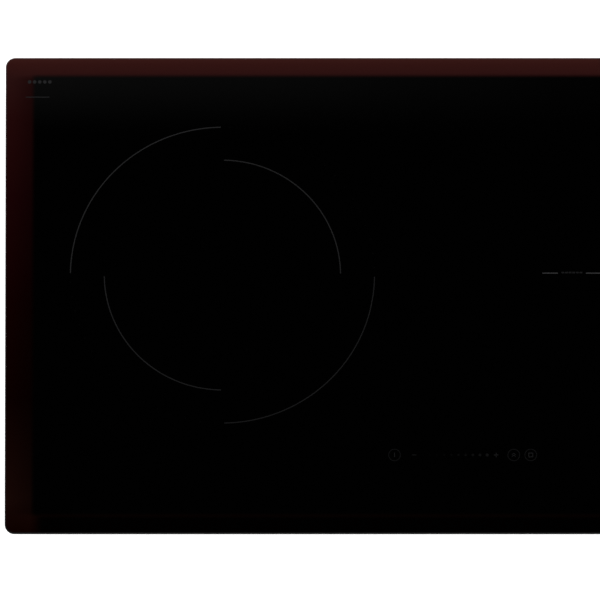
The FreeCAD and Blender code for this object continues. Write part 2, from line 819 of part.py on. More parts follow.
def capacitors(side, x):
    """Film capacitors at the front of a power board."""
    made = []
    for i, (width, depth, high) in enumerate([(42, 20, 24), (42, 20, 24), (32, 16, 22), (32, 16, 22)]):
        made.append(box(mm(width), mm(depth), mm(high),
                        x - 90 + i * 50, D.power_y - 62))
    group(f"{side}_capacitors", made, z=D.board_level + D.board_thick)


def wound_ring(x, y, outer, inner, high):
    """A wound ring choke lying flat on its board."""
    return cut(cylinder(outer, high, x, y, 0.2), cylinder(inner, high * 2, x, y, -high / 2))


def power_chokes():
    """One wound ring choke on each power board."""
    made = [wound_ring(x + 70, D.power_y - 18, mm(23), mm(8), mm(16)) for _, x in power_places()]
    group("power_chokes", made, z=D.board_level + D.board_thick)


def filter_parts():
    """The mains filter's choke and capacitors."""
    x, y = D.filter_x, D.filter_y
    made = [wound_ring(x - 14, y + 42, mm(21), mm(8), mm(15))]
    for i in range(3):
        made.append(box(mm(30), mm(16), mm(22), x + 22, y - 40 + i * 24))
    group("filter_parts", made, z=D.board_level + D.board_thick)


def relays():
    """Mains relays on the filter board."""
    x, y = D.filter_x, D.filter_y
    made = [box(mm(18), mm(29), mm(20), x - 26, y - 54 + i * 36) for i in range(2)]
    group("mains_relays", made, z=D.board_level + D.board_thick)


# ---------------------------------------------------------------- fans

def fan_outline(drawing, grow):
    """A round fan housing with a straight outlet towards the front."""
    radius = D.fan_r - grow
    outlet = D.fan_r * 0.62 - grow
    reach = D.fan_r + 4 if num(grow) == 0 else D.fan_r + 12
    r, half, far = num(radius), num(outlet), num(reach)
    join_y = -math.sqrt(r * r - half * half)
    start = math.atan2(join_y, half)
    end = math.atan2(join_y, -half) + 2 * math.pi
    arc = drawing.addGeometry(Part.ArcOfCircle(Part.Circle(V(0, 0, 0), V(0, 0, 1), r), start, end), False)
    corners = [V(-half, join_y, 0), V(-half, -far, 0), V(half, -far, 0), V(half, join_y, 0)]
    lines = [drawing.addGeometry(Part.LineSegment(corners[i], corners[i + 1]), False) for i in range(3)]
    rules = [
        Sketcher.Constraint("Coincident", arc, 3, -1, 1),
        Sketcher.Constraint("Coincident", arc, 2, lines[0], 1),
        Sketcher.Constraint("Coincident", lines[0], 2, lines[1], 1),
        Sketcher.Constraint("Coincident", lines[1], 2, lines[2], 1),
        Sketcher.Constraint("Coincident", lines[2], 2, arc, 1),
        Sketcher.Constraint("Vertical", lines[0]),
        Sketcher.Constraint("Horizontal", lines[1]),
        Sketcher.Constraint("Vertical", lines[2]),
    ]
    drawing.addConstraint(rules)
    index = drawing.addConstraint(Sketcher.Constraint("Radius", arc, r))
    drawing.setExpression(f"Constraints[{index}]", txt(radius))
    measure(drawing, "DistanceX", -outlet, -1, 1, lines[0], 2)
    measure(drawing, "DistanceX", outlet, -1, 1, lines[2], 1)
    measure(drawing, "DistanceY", -reach, -1, 1, lines[1], 1)


def fan_housing(side, x):
    """The blower's shell: open below for the inlet and at the front for the outlet."""
    shell = body(f"{side}_fan_housing", x, D.fan_y, D.sheet_thick)
    outline = sketch(shell, "ShellOutline")
    fan_outline(outline, mm(0))
    pad(shell, outline, D.fan_high, "Shell")
    inside = sketch(shell, "ShellInside", D.fan_wall)
    fan_outline(inside, D.fan_wall)
    pocket(shell, inside, D.fan_high - D.fan_wall * 2, True, "Inside")
    inlet = sketch(shell, "Inlet")
    circle(inlet, D.fan_inlet_r)
    pocket(shell, inlet, D.fan_wall, True, "Inlet")


def impeller(side, x):
    """A forward-curved fan wheel with a hub cup that turns on the fixed axle."""
    wheel = body(f"{side}_impeller", x, D.fan_y, D.sheet_thick + D.wheel_low)
    section = sketch(wheel, "WheelSection", 0, "XZ_Plane")
    bore, wall, top = D.axle_r + D.axle_run, D.wheel_wall, D.wheel_high
    zero = mm(0)
    polygon(section, [
        (bore, zero),
        (D.cup_r, zero),
        (D.cup_r, top - wall),
        (D.wheel_r, top - wall),
        (D.wheel_r, top),
        (D.cup_r - wall, top),
        (D.cup_r - wall, wall),
        (bore + 2, wall),
        (bore + 2, wall + 3),
        (bore, wall + 3),
    ])
    revolve(wheel, section, "Hub")
    blade = sketch(wheel, "BladeOutline")
    inner, outer = D.wheel_r - D.wheel_blade, D.wheel_r - 0.5
    lean = 3.4
    polygon(blade, [
        (inner, zero - 0.5),
        (inner + D.wheel_blade / 2, mm(lean * 0.3)),
        (outer, mm(lean)),
        (outer - 0.4, mm(lean + 0.9)),
        (inner + D.wheel_blade / 2, mm(lean * 0.3 + 1)),
        (inner, zero + 0.5),
    ])
    first = pad(wheel, blade, D.wheel_high - D.wheel_wall / 2, "Blade")
    repeat_round(wheel, first, D.blade_count, "Blades")
    rim = sketch(wheel, "RimOutline")
    circle(rim, D.wheel_r)
    circle(rim, D.wheel_r - 1.6)
    pad(wheel, rim, mm(2), "Rim")


def fan_motors():
    """Each fan's stator and fixed axle, hung from the housing's roof."""
    roof = D.fan_high - D.fan_wall
    made = []
    for _, x in power_places():
        flange = cylinder(mm(22), mm(2), x, D.fan_y, roof - 2)
        low = D.wheel_low + D.wheel_wall + 4
        stator = cylinder(D.cup_r - D.wheel_wall - 2, roof - low, x, D.fan_y, low)
        axle = cylinder(D.axle_r, roof - D.wheel_low, x, D.fan_y, D.wheel_low)
        made.append(fuse(flange, stator, axle))
    group("fan_motors", made, z=D.sheet_thick)


# ---------------------------------------------------------------- mains terminals

def box_rear():
    """Y of the terminal box's rear rim."""
    return D.casing_depth / 2 + D.box_proud


def terminal_box():
    """The moulded box in the rear wall, with the cable inlet and the lid's hinge pins."""
    shell = cut(
        box(D.box_width, D.box_depth, D.box_high, 0, -D.box_depth / 2),
        box(D.box_width - D.box_wall * 2, D.box_depth, D.box_high - D.box_wall * 2, 0,
            -D.box_depth / 2 - D.box_wall, D.box_wall),
    )
    mouth = box(D.lid_width - 4, D.box_wall * 4, D.box_high - D.box_wall * 2, D.lid_x, 0, D.box_wall)
    boss = cylinder(D.inlet_r + 3, D.inlet_length, D.inlet_x, -D.inlet_length, D.inlet_z, "y")
    ears = []
    pins = []
    for end in (-1, 1):
        edge = D.lid_x + end * (D.lid_width / 2 + 1.4)
        ears.append(box(mm(2), D.hinge_out + 2, D.hinge_r * 2 + 3, edge, (D.hinge_out + 2) / 2,
                        D.hinge_z - D.hinge_r - 1.5))
        pin_from = edge if end < 0 else edge - 9
        pins.append(cylinder(D.hinge_r, mm(9), pin_from, D.hinge_out, D.hinge_z, "x"))
    wall = box(D.box_width, D.box_wall, D.box_high, 0, -D.box_wall / 2)
    inlet = cylinder(D.inlet_r, D.inlet_length * 3, D.inlet_x, -D.inlet_length * 2, D.inlet_z, "y")
    whole = cut(fuse(cut(fuse(shell, wall, boss), mouth, inlet), *ears, *pins), wire_mouth())
    place(whole, D.box_x, box_rear(), D.box_level)
    node(whole, "terminal_box")


def wire_mouth():
    """The opening in the box's front wall where the inner wires leave."""
    return box(mm(40), D.box_wall * 4, mm(14), mm(-14), -D.box_depth, mm(14))


def terminal_lid():
    """The lid that hinges down to the rear on two pins at its lower edge."""
    barrel_r = D.hinge_r + D.hinge_run + 1.4
    barrel = mm(7)
    lift = D.hinge_z + 1
    plate = box(D.lid_width, D.lid_thick, D.lid_high - lift, 0, D.lid_thick / 2 + 0.5, lift)
    tops = []
    bores = []
    for end in (-1, 1):
        start = D.lid_width / 2 - barrel if end > 0 else -D.lid_width / 2
        tops.append(cylinder(barrel_r, barrel, start, D.hinge_out, D.hinge_z, "x"))
        tops.append(box(barrel, D.lid_thick, D.hinge_r * 2 + 2, start + barrel / 2,
                        D.hinge_out - D.lid_thick / 2 - 0.2, D.hinge_z))
        bores.append(cylinder(D.hinge_r + D.hinge_run, barrel * 2, start - 2, D.hinge_out, D.hinge_z, "x"))
    tab = box(mm(18), mm(3), mm(2), 0, mm(3.2), D.lid_high - 2)
    whole = cut(fuse(plate, tab, *tops), *bores)
    place(whole, D.box_x + D.lid_x, box_rear(), D.box_level)
    node(whole, "terminal_lid")


def terminal_block():
    """The six-way terminal block inside the box."""
    ways = 6
    pitch = mm(9)
    block = box(pitch * ways, mm(18), mm(13))
    holes = []
    for i in range(ways):
        x = pitch * (i - (ways - 1) / 2)
        holes.append(cylinder(mm(2.3), mm(9), x, mm(0), mm(6)))
        holes.append(box(mm(5), mm(8), mm(5), x, mm(7), mm(2)))
    whole = cut(block, *holes)
    place(whole, D.box_x + D.lid_x, box_rear() - 30, D.box_level + D.box_wall)
    node(whole, "terminal_block")


def terminal_screws():
    """Clamping screws of the terminal block."""
    made = []
    for i in range(6):
        stem = cylinder(mm(2.1), mm(6), mm(9) * (i - 2.5), 0, 0)
        slot_cut = box(mm(5), mm(0.8), mm(1), mm(9) * (i - 2.5), 0, mm(5.2))
        made.append(cut(stem, slot_cut))
    group("terminal_screws", made, D.box_x + D.lid_x, box_rear() - 30, D.box_level + D.box_wall + 6.5)


def cable_clamp():
    """The saddle behind the inlet that grips the supply cable, open along the cable's line."""
    wide, deep = mm(18), mm(7)
    block = box(wide, deep, D.box_high - D.box_wall * 2 - 1)
    way = cylinder(D.inlet_r - 0.6, deep * 3, 0, -deep * 1.5, D.inlet_z - D.box_wall, "y")
    whole = cut(block, way)
    place(whole, D.box_x + D.inlet_x, box_rear() - 22, D.box_level + D.box_wall)
    node(whole, "cable_clamp")


# ---------------------------------------------------------------- controls

def control_carrier():
    """The moulded tray under the front of the glass, on four legs."""
    depth = D.control_depth + 4
    width = D.control_width + 4
    tray = body("control_carrier", D.control_x, D.control_y, 0)
    floor = sketch(tray, "TrayFloor", D.control_level - 4)
    rectangle(floor, width, depth, corner=mm(3))
    rectangle(floor, mm(25), mm(4), ribbon_x() - D.control_x, ribbon_rise() - D.control_y)
    pad(tray, floor, mm(2), "Floor")
    rim = sketch(tray, "TrayRim", D.control_level - 4)
    rectangle(rim, width, depth, corner=mm(3))
    rectangle(rim, width - 3.2, depth - 3.2, corner=mm(1.5))
    pad(tray, rim, mm(7), "Rim")
    legs = sketch(tray, "Legs", D.sheet_thick)
    for sx in (-1, 1):
        for sy in (-1, 1):
            rectangle(legs, mm(9), mm(9), sx * (width / 2 - 10), sy * (depth / 2 - 8))
    pad(tray, legs, D.control_level - 3 - D.sheet_thick, "Legs")
    ledges = sketch(tray, "Ledges", D.control_level - 3)
    for i in range(5):
        rectangle(ledges, mm(6), depth - 1, (width / 5) * (i - 2), 0)
    pad(tray, ledges, mm(3), "Ledges")


def key_places():
    """X of each touch contact: on/off, minus, the slider's five fields, plus, boost and timer."""
    slider = [D.slide_first_x + D.slide_pitch * i for i in range(5)]
    return [D.power_key_x, D.minus_key_x, *slider, D.plus_key_x, D.boost_key_x, D.timer_key_x]


def key_pads():
    """Conductive foam contacts between the control board and the glass."""
    level = D.control_level + D.board_thick
    made = [cylinder(D.pad_r, D.glass_level - D.slip - level, x, D.key_y) for x in key_places()]
    group("key_pads", made, z=level)


def display_modules():
    """Dead-front number displays left of the keys, seen only when lit."""
    level = D.control_level + D.board_thick
    made = []
    for i in range(4):
        made.append(box(mm(22), mm(13), D.glass_level - D.slip - level, D.control_x - 150 + i * 32,
                        D.key_y))
    group("display_modules", made, z=level)


def ribbon_x():
    """X of the middle of the ribbon cable."""
    return D.control_x - 105


def ribbon_rise():
    """Y where the ribbon cable rises through the control tray's floor."""
    return D.control_y + D.control_depth / 2 - 6


def ribbon_cable():
    """The flat cable from the control board down to the left power board."""
    wide, thick = mm(22), mm(0.9)
    strip = body("ribbon_cable", ribbon_x() - wide / 2, 0, 0)
    section = sketch(strip, "StripSection", 0, "YZ_Plane")
    level = D.control_level - 4.6
    rise = ribbon_rise()
    drop = D.deck_front - 0.6
    front = D.power_y - D.power_depth / 2 + 12
    low = D.board_level + D.board_thick + 0.3
    polygon(section, [
        (rise, D.control_level),
        (rise, level),
        (drop, level),
        (drop, low + thick),
        (front, low + thick),
        (front, low),
        (drop - thick, low),
        (drop - thick, level - thick),
        (rise - thick, level - thick),
        (rise - thick, D.control_level),
    ])
    pad(strip, section, wide, "Strip")


def route_tube(points, radius, bend):
    """A round tube along straight runs with tangent arcs at their corners."""
    edges = []
    start = points[0]
    for before, corner, after in zip(points, points[1:], points[2:]):
        into = (corner - before).normalize()
        out = (after - corner).normalize()
        half = into.getAngle(out) / 2
        back = bend * math.tan(half)
        first, last = corner - into * back, corner + out * back
        inward = (out - into).normalize()
        centre = corner + inward * (bend / math.cos(half))
        edges.append(Part.LineSegment(start, first).toShape())
        edges.append(Part.Arc(first, centre - inward * bend, last).toShape())
        start = last
    edges.append(Part.LineSegment(start, points[-1]).toShape())
    path = Part.Wire(edges)
    aim = (points[1] - points[0]).normalize()
    end = Part.Wire([Part.Circle(points[0], aim, radius).toShape()])
    tube = path.makePipeShell([end], True, False)
    expected = math.pi * radius * radius * path.Length
    if abs(tube.Volume - expected) > 0.02 * expected:
        raise RuntimeError("a lead's volume does not match its length")
    return tube


def coil_leads():
    """Two leads from each winding, down through the deck to its power board."""
    radius = num(D.lead_r)
    top = num(D.deck_level + D.deck_thick + D.carrier_thick) + radius + 0.3
    under = num(D.under_deck)
    low = num(D.board_level + D.board_thick) + 0.4
    bend = 2.4 * radius
    tubes = []
    for zone, x, y, coil in zone_places():
        hole_x, hole_y = (num(value) for value in lead_places()[zone])
        side = 1 if hole_x > num(x) else -1
        inner = num(x) + side * (num(coil) / 2 - 3.8)
        for step in (-1, 1):
            lane = hole_y + step * 7
            down = hole_x + (step * 2.6 if zone == "rear" else 0)
            points = [V(inner, lane, top), V(down, lane, top)]
            if zone == "left":
                points += [V(down, lane, under), V(num(D.left_landing_x), lane, under)]
            if zone == "rear":
                points += [V(down, lane, under), V(down, num(D.rear_landing_y), under)]
            points.append(V(points[-1].x, points[-1].y, low))
            tubes.append(route_tube(points, radius, bend))
    leads = DOC.addObject("Part::Feature", "Leads")
    leads.Shape = Part.makeCompound(tubes)
    node(leads, "coil_leads")


# ---------------------------------------------------------------- side clips

def clip_places():
    """Name, side and Y of each spring clip."""
    return [
        ("left_front", -1, -D.clip_y),
        ("left_rear", -1, D.clip_y),
        ("right_front", 1, -D.clip_y),
        ("right_rear", 1, D.clip_y),
    ]


def clip_brackets():
    """Small plates on the casing's side walls that the spring leaves hook on to."""
    made = []
    for _, side, y in clip_places():
        x = side * (D.casing_width / 2 + 0.5)
        made.append(box(mm(1), D.clip_wide - 6, mm(5), x, y, D.clip_low - 7))
    group("clip_brackets", made)


def clip_leaf(name, side, y):
    """A sprung steel leaf, hinged at its foot, that grips the edge of the worktop cut-out."""
    leaf = DOC.addObject("Part::Extrusion", "Leaf")
    start = 0.6
    thick = num(D.clip_thick)
    line = [(start, 0), (start + 0.2, 8), (start + 4.0, 24), (start + 2.6, 32)]
    outline = []
    for offset, order in ((0, line), (thick, line[::-1])):
        outline += [V(side * (x + offset), 0, z) for x, z in order]
    outline.append(outline[0])
    profile = DOC.addObject("Part::Feature", "LeafProfile")
    profile.Shape = Part.Face(Part.makePolygon(outline))
    leaf.Base = profile
    leaf.DirMode = "Custom"
    leaf.Dir = V(0, 1, 0)
    leaf.Solid = True
    leaf.setExpression("LengthFwd", txt(D.clip_wide))
    place(leaf, side * (D.casing_width / 2), y - D.clip_wide / 2, D.clip_low)
    node(leaf, f"{name}_clip")


# ---------------------------------------------------------------- the whole cooktop

def make_all():
    """Make every piece."""
    glass_top()
    rim_seal()
    bond_bead()
    glass_frame()
    lower_casing()
    sheet_screws()
    coil_deck()
    deck_posts()
    for zone, x, y, coil in zone_places():
        coil_carrier(zone, x, y, coil)
        ferrites(zone, x, y, coil)
        mica(zone, x, y, coil)
        sensor(zone, x, y)
        sensor_spring(zone, x, y)
    large_r = D.large_coil / 2
    winding("left_outer_winding", -D.zone_across, D.left_zone_y, large_r - 46, large_r - 4)
    winding("left_inner_winding", -D.zone_across, D.left_zone_y, large_r - 130, large_r - 56)
    for zone, x, y, coil in zone_places()[1:]:
        winding(f"{zone}_winding", x, y, mm(20), coil / 2 - 4)
    for label, width, depth, x, y in lower_boards():
        board(label, width, depth, x, y, D.board_level)
    board_standoffs()
    power_devices()
    power_chokes()
    for side, x in power_places():
        heatsink(side, x)
        capacitors(side, x)
        fan_housing(side, x)
        impeller(side, x)
    fan_motors()
    filter_parts()
    relays()
    terminal_box()
    terminal_lid()
    terminal_block()
    terminal_screws()
    cable_clamp()
    control_carrier()
    board("control_board", D.control_width, D.control_depth, D.control_x, D.control_y, D.control_level)
    key_pads()
    display_modules()
    ribbon_cable()
    coil_leads()
    clip_brackets()
    for name, side, y in clip_places():
        clip_leaf(name, side, y)


def check_all():
    """Stop on any failed object or any piece without a sound shape."""
    DOC.recompute()
    for obj in DOC.Objects:
        if "Invalid" in obj.State or "Error" in obj.State:
            raise RuntimeError(f"{obj.Label} failed: {obj.State}")
    for piece in NODES:
        if piece.Shape.isNull() or not piece.Shape.isValid():
            raise RuntimeError(f"{piece.Label} has no sound shape")


def export_all():
    """Write each piece to its own STEP file."""
    os.makedirs("parts", exist_ok=True)
    for piece in NODES:
        piece.Shape.exportStep(f"parts/{piece.Label}.step")
    print(f"{len(NODES)} pieces written")


make_all()
check_all()
export_all()
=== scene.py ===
"""Looks of a built-in electric induction cooktop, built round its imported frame.

Every piece is in metres in the row frame: +X to the user's right, +Y to the rear, +Z up, the origin at the
centre of the casing's underside.
"""

import json
import logging
import math
from dataclasses import dataclass
from enum import Enum
from typing import Dict, List, Optional, Sequence, Tuple, Union

import bmesh
import bpy
from mathutils import Matrix, Vector


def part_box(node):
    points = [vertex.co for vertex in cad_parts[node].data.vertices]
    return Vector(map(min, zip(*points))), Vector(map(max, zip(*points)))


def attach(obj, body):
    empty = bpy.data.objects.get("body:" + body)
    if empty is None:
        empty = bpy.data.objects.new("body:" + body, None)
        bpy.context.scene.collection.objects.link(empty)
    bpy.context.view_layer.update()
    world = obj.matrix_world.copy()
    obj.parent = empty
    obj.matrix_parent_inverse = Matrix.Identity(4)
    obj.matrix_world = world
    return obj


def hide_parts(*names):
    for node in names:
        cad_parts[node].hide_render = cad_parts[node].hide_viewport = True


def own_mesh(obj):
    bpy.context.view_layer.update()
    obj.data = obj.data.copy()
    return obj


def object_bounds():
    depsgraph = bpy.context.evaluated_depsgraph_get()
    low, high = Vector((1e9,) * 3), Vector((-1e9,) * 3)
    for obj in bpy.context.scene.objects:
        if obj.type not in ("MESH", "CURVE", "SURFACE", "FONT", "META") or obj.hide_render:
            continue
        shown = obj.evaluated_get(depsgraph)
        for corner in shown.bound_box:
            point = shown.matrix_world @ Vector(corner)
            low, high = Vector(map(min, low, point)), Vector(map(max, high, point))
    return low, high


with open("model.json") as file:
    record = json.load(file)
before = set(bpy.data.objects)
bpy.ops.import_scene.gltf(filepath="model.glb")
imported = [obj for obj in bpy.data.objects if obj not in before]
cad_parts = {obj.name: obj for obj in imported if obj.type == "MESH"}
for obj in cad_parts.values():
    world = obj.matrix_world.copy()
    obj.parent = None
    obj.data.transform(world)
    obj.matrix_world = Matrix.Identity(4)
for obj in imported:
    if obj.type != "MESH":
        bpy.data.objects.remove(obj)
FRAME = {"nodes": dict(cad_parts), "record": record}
CAD_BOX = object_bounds()
ROOT = "hob"
LOG = logging.getLogger("cooktop")

Colour = Tuple[float, float, float]
Point = Tuple[float, float, float]
Flat = Tuple[float, float]
Value = Union["Sock", float]


# ---------------------------------------------------------------- shader graph

class Sock:
    """One output socket of a material, with arithmetic that adds its Math nodes."""

    def __init__(self, graph: "Graph", out: bpy.types.NodeSocket) -> None:
        """Keep the socket and the graph that it belongs to."""
        self.graph = graph
        self.out = out

    def _join(self, operation: str, first: Value, second: Value) -> "Sock":
        """Add one Math node."""
        return self.graph.math(operation, first, second)

    def __add__(self, other: Value) -> "Sock":
        """This value plus another."""
        return self._join("ADD", self, other)

    __radd__ = __add__

    def __sub__(self, other: Value) -> "Sock":
        """This value less another."""
        return self._join("SUBTRACT", self, other)

    def __rsub__(self, other: Value) -> "Sock":
        """Another value less this one."""
        return self._join("SUBTRACT", other, self)

    def __mul__(self, other: Value) -> "Sock":
        """This value times another."""
        return self._join("MULTIPLY", self, other)

    __rmul__ = __mul__

    def __truediv__(self, other: Value) -> "Sock":
        """This value over another."""
        return self._join("DIVIDE", self, other)

    def __abs__(self) -> "Sock":
        """This value without its sign."""
        return self._join("ABSOLUTE", self, 0.0)


class Owner(Enum):
    """What a graph's nodes belong to: where that is kept, its output node and the place that it reads."""

    MATERIAL = ("materials", "ShaderNodeOutputMaterial", "Object")
    WORLD = ("worlds", "ShaderNodeOutputWorld", "Generated")


class Graph:
    """The nodes of one material or world, ending in its output."""

    def __init__(self, name: str, owner: Owner = Owner.MATERIAL) -> None:
        """Start an empty material or world.

        Args:
            name: its name.
            owner: which of the two it is.
        """
        kept_in, self.output, place = owner.value
        self.owned = getattr(bpy.data, kept_in).new(name)
        self.owned.use_nodes = True
        self.tree = self.owned.node_tree
        self.tree.nodes.clear()
        self.place = Sock(self, self.node("ShaderNodeTexCoord").outputs[place])
        split = self.node("ShaderNodeSeparateXYZ", {}, {"Vector": self.place})
        self.x, self.y, self.z = (Sock(self, split.outputs[axis]) for axis in "XYZ")

    def node(
        self,
        kind: str,
        settings: Optional[Dict[str, object]] = None,
        inputs: Optional[Dict[Union[str, int], object]] = None,
        stops: Optional[Sequence[Tuple[float, Colour]]] = None,
    ) -> bpy.types.Node:
        """Add a node.

        Args:
            kind: the node's type.
            settings: properties, which are set before the sockets.
            inputs: a value or a link for each named or numbered input.
            stops: position and colour of each stop of a ramp.

        Returns:
            The new node.
        """
        made = self.tree.nodes.new(kind)
        for key, value in (settings or {}).items():
            setattr(made, key, value)
        if stops:
            self._set_stops(made.color_ramp, stops)
        for key, value in (inputs or {}).items():
            self.feed(made.inputs[key], value)
        return made

    @staticmethod
    def _set_stops(ramp: bpy.types.ColorRamp, stops: Sequence[Tuple[float, Colour]]) -> None:
        """Give a ramp its stops.

        Args:
            ramp: the node's ramp.
            stops: position and colour of each stop.
        """
        while len(ramp.elements) < len(stops):
            ramp.elements.new(1.0)
        for element, (position, colour) in zip(ramp.elements, stops):
            element.position = position
            element.color = (*colour, 1.0)

    def feed(self, socket: bpy.types.NodeSocket, value: object) -> None:
        """Set or link an input socket.

        Args:
            socket: the input.
            value: a Sock to link, or a number or tuple to set.
        """
        if isinstance(value, Sock):
            self.tree.links.new(value.out, socket)
        elif socket.type == "RGBA" and len(value) == 3:
            socket.default_value = (*value, 1.0)
        else:
            socket.default_value = value

    def math(self, operation: str, first: Value, second: Value = 0.0, third: Value = 0.0) -> Sock:
        """Add a Math node and return its result."""
        made = self.node("ShaderNodeMath", {"operation": operation}, {0: first, 1: second, 2: third})
        return Sock(self, made.outputs[0])

    def clamp(self, value: Sock) -> Sock:
        """The value held between 0 and 1."""
        made = self.node("ShaderNodeClamp", {}, {"Value": value})
        return Sock(self, made.outputs[0])

    def step(self, value: Sock, low: float, high: float) -> Sock:
        """A smooth rise from 0 at low to 1 at high.

        Args:
            value: what is compared.
            low: where the rise starts.
            high: where it ends.

        Returns:
            The rise.
        """
        made = self.node(
            "ShaderNodeMapRange",
            {"interpolation_type": "SMOOTHSTEP"},
            {"Value": value, "From Min": low, "From Max": high},
        )
        return Sock(self, made.outputs[0])

    def mix(self, factor: Value, first: object, second: object) -> Sock:
        """A colour between two, by a factor."""
        made = self.node("ShaderNodeMix", {"data_type": "RGBA"}, {"Factor": factor, 6: first, 7: second})
        return Sock(self, made.outputs[2])

    def tint(self, colour: object, amount: Sock) -> Sock:
        """A colour times a value."""
        made = self.node("ShaderNodeVectorMath", {"operation": "SCALE"}, {0: colour, "Scale": amount})
        return Sock(self, made.outputs[0])

    def stretch(self, x: float, y: float, z: float) -> Sock:
        """The object's place, scaled on each axis."""
        made = self.node("ShaderNodeVectorMath", {"operation": "MULTIPLY"}, {0: self.place, 1: (x, y, z)})
        return Sock(self, made.outputs[0])

    def noise(self, scale: float, detail: float = 3.0, place: Optional[Sock] = None) -> Sock:
        """Noise about 0.5.

        Args:
            scale: cells per metre.
            detail: octaves.
            place: where it is read, the object's place if not given.

        Returns:
            The noise value.
        """
        made = self.node(
            "ShaderNodeTexNoise", {}, {"Vector": place or self.place, "Scale": scale, "Detail": detail}
        )
        return Sock(self, made.outputs["Fac"])

    def cells(self, scale: float, feature: str = "F1", output: str = "Distance") -> Sock:
        """Voronoi cells.

        Args:
            scale: cells per metre.
            feature: what is measured, such as F1 or DISTANCE_TO_EDGE.
            output: the socket that is read.

        Returns:
            The value or colour.
        """
        made = self.node("ShaderNodeTexVoronoi", {"feature": feature}, {"Vector": self.place, "Scale": scale})
        return Sock(self, made.outputs[output])

    def ramp(self, value: Sock, stops: Sequence[Tuple[float, Colour]]) -> Sock:
        """A colour read from a ramp."""
        made = self.node("ShaderNodeValToRGB", {}, {"Fac": value}, stops)
        return Sock(self, made.outputs["Color"])

    def bump(self, height: Sock, strength: float, depth: float) -> Sock:
        """A surface normal from a height.

        Args:
            height: the height, from 0 to 1.
            strength: how strongly it shows.
            depth: the height of 1 in metres.

        Returns:
            The normal.
        """
        made = self.node("ShaderNodeBump", {}, {"Height": height, "Strength": strength, "Distance": depth})
        return Sock(self, made.outputs[0])

    def surface(self, **sockets: object) -> Sock:
        """A Principled surface; underscores in the names stand for spaces."""
        named = {key.replace("_", " "): value for key, value in sockets.items()}
        made = self.node("ShaderNodeBsdfPrincipled", {}, named)
        return Sock(self, made.outputs[0])

    def blend(self, factor: Sock, first: Sock, second: Sock) -> Sock:
        """A surface between two, by a factor."""
        made = self.node("ShaderNodeMixShader", {}, {0: factor, 1: first, 2: second})
        return Sock(self, made.outputs[0])

    def ray(self, kind: str) -> Sock:
        """1 for rays of one kind, such as Camera, else 0."""
        return Sock(self, self.node("ShaderNodeLightPath").outputs[f"Is {kind} Ray"])

    def plain(self, kind: str, **sockets: object) -> Sock:
        """A simple shader by its node's type."""
        return Sock(self, self.node(kind, {}, sockets).outputs[0])

    def finish(self, surface: Sock) -> bpy.types.ID:
        """Join the surface to the output and return the material or world."""
        self.node(self.output, {}, {"Surface": surface})
        return self.owned


# ---------------------------------------------------------------- finishes

class Grain(Enum):
    """How a moulded surface is textured."""

    FINE = (2600.0, 0.00004)
    SPARK = (900.0, 0.00012)
    SATIN = (5200.0, 0.00002)


@dataclass(frozen=True)
class Moulding:
    """A moulded plastic with a tool grain and slight shade changes."""

    name: str
    colour: Colour
    roughness: float = 0.5
    grain: Grain = Grain.FINE
    sheen: float = 0.5

    def build(self) -> bpy.types.Material:
        """Make the material."""
        g = Graph(self.name)
        scale, depth = self.grain.value
        flow = g.noise(22.0, 4.0)
        pits = g.noise(scale, 2.0)
        shade = 0.82 + flow * 0.36
        rough = self.roughness + (g.noise(90.0, 3.0) - 0.5) * 0.25
        return g.finish(g.surface(
            Base_Color=g.tint(self.colour, shade),
            Roughness=rough,
            Normal=g.bump(pits, self.sheen, depth),
        ))


@dataclass(frozen=True)
class Galvanised:
    """Zinc-coated sheet with crystals of differing shade and fine handling scratches."""

    name: str
    colour: Colour = (0.52, 0.54, 0.55)
    crystal: float = 70.0

    def build(self) -> bpy.types.Material:
        """Make the material."""
        g = Graph(self.name)
        tone = g.node("ShaderNodeSeparateColor", {}, {"Color": g.cells(self.crystal, "F1", "Color")})
        facet = Sock(g, tone.outputs[0])
        feather = g.noise(self.crystal * 5.0, 4.0)
        scratch = g.step(g.noise(60.0, 6.0, g.stretch(1.0, 22.0, 6.0)), 0.60, 0.72)
        stain = g.noise(6.0, 3.0)
        shade = 0.76 + facet * 0.2 + feather * 0.14 + scratch * 0.1 + stain * 0.08
        rough = 0.3 + facet * 0.16 + feather * 0.1 - scratch * 0.08
        edge = g.step(g.cells(self.crystal, "DISTANCE_TO_EDGE"), 0.0, 0.06)
        return g.finish(g.surface(
            Base_Color=g.tint(self.colour, shade),
            Metallic=0.9,
            Roughness=rough,
            Normal=g.bump(edge + feather * 0.3, 0.25, 0.0001),
        ))


@dataclass(frozen=True)
class Rolled:
    """Bare metal with rolling or drawing lines along one axis."""

    name: str
    colour: Colour
    roughness: float = 0.32
    lines: Point = (14.0, 900.0, 900.0)

    def build(self) -> bpy.types.Material:
        """Make the material."""
        g = Graph(self.name)
        line = g.noise(1.0, 5.0, g.stretch(*self.lines))
        cloud = g.noise(18.0, 3.0)
        smear = g.step(g.noise(40.0, 4.0), 0.55, 0.75)
        return g.finish(g.surface(
            Base_Color=g.tint(self.colour, 0.84 + line * 0.2 + cloud * 0.12),
            Metallic=1.0,
            Roughness=self.roughness + (line - 0.5) * 0.22 + smear * 0.1,
            Normal=g.bump(line, 0.35, 0.00003),
        ))


@dataclass(frozen=True)
class PowderCoat:
    """A baked coat with orange peel and rubbed high spots."""

    name: str
    colour: Colour

    def build(self) -> bpy.types.Material:
        """Make the material."""
        g = Graph(self.name)
        peel = g.noise(700.0, 2.0)
        rub = g.step(g.noise(35.0, 5.0), 0.58, 0.8)
        return g.finish(g.surface(
            Base_Color=g.mix(rub * 0.5, self.colour, tuple(value * 2.2 + 0.01 for value in self.colour)),
            Roughness=0.48 + rub * 0.16,
            Normal=g.bump(peel, 0.4, 0.00006),
        ))


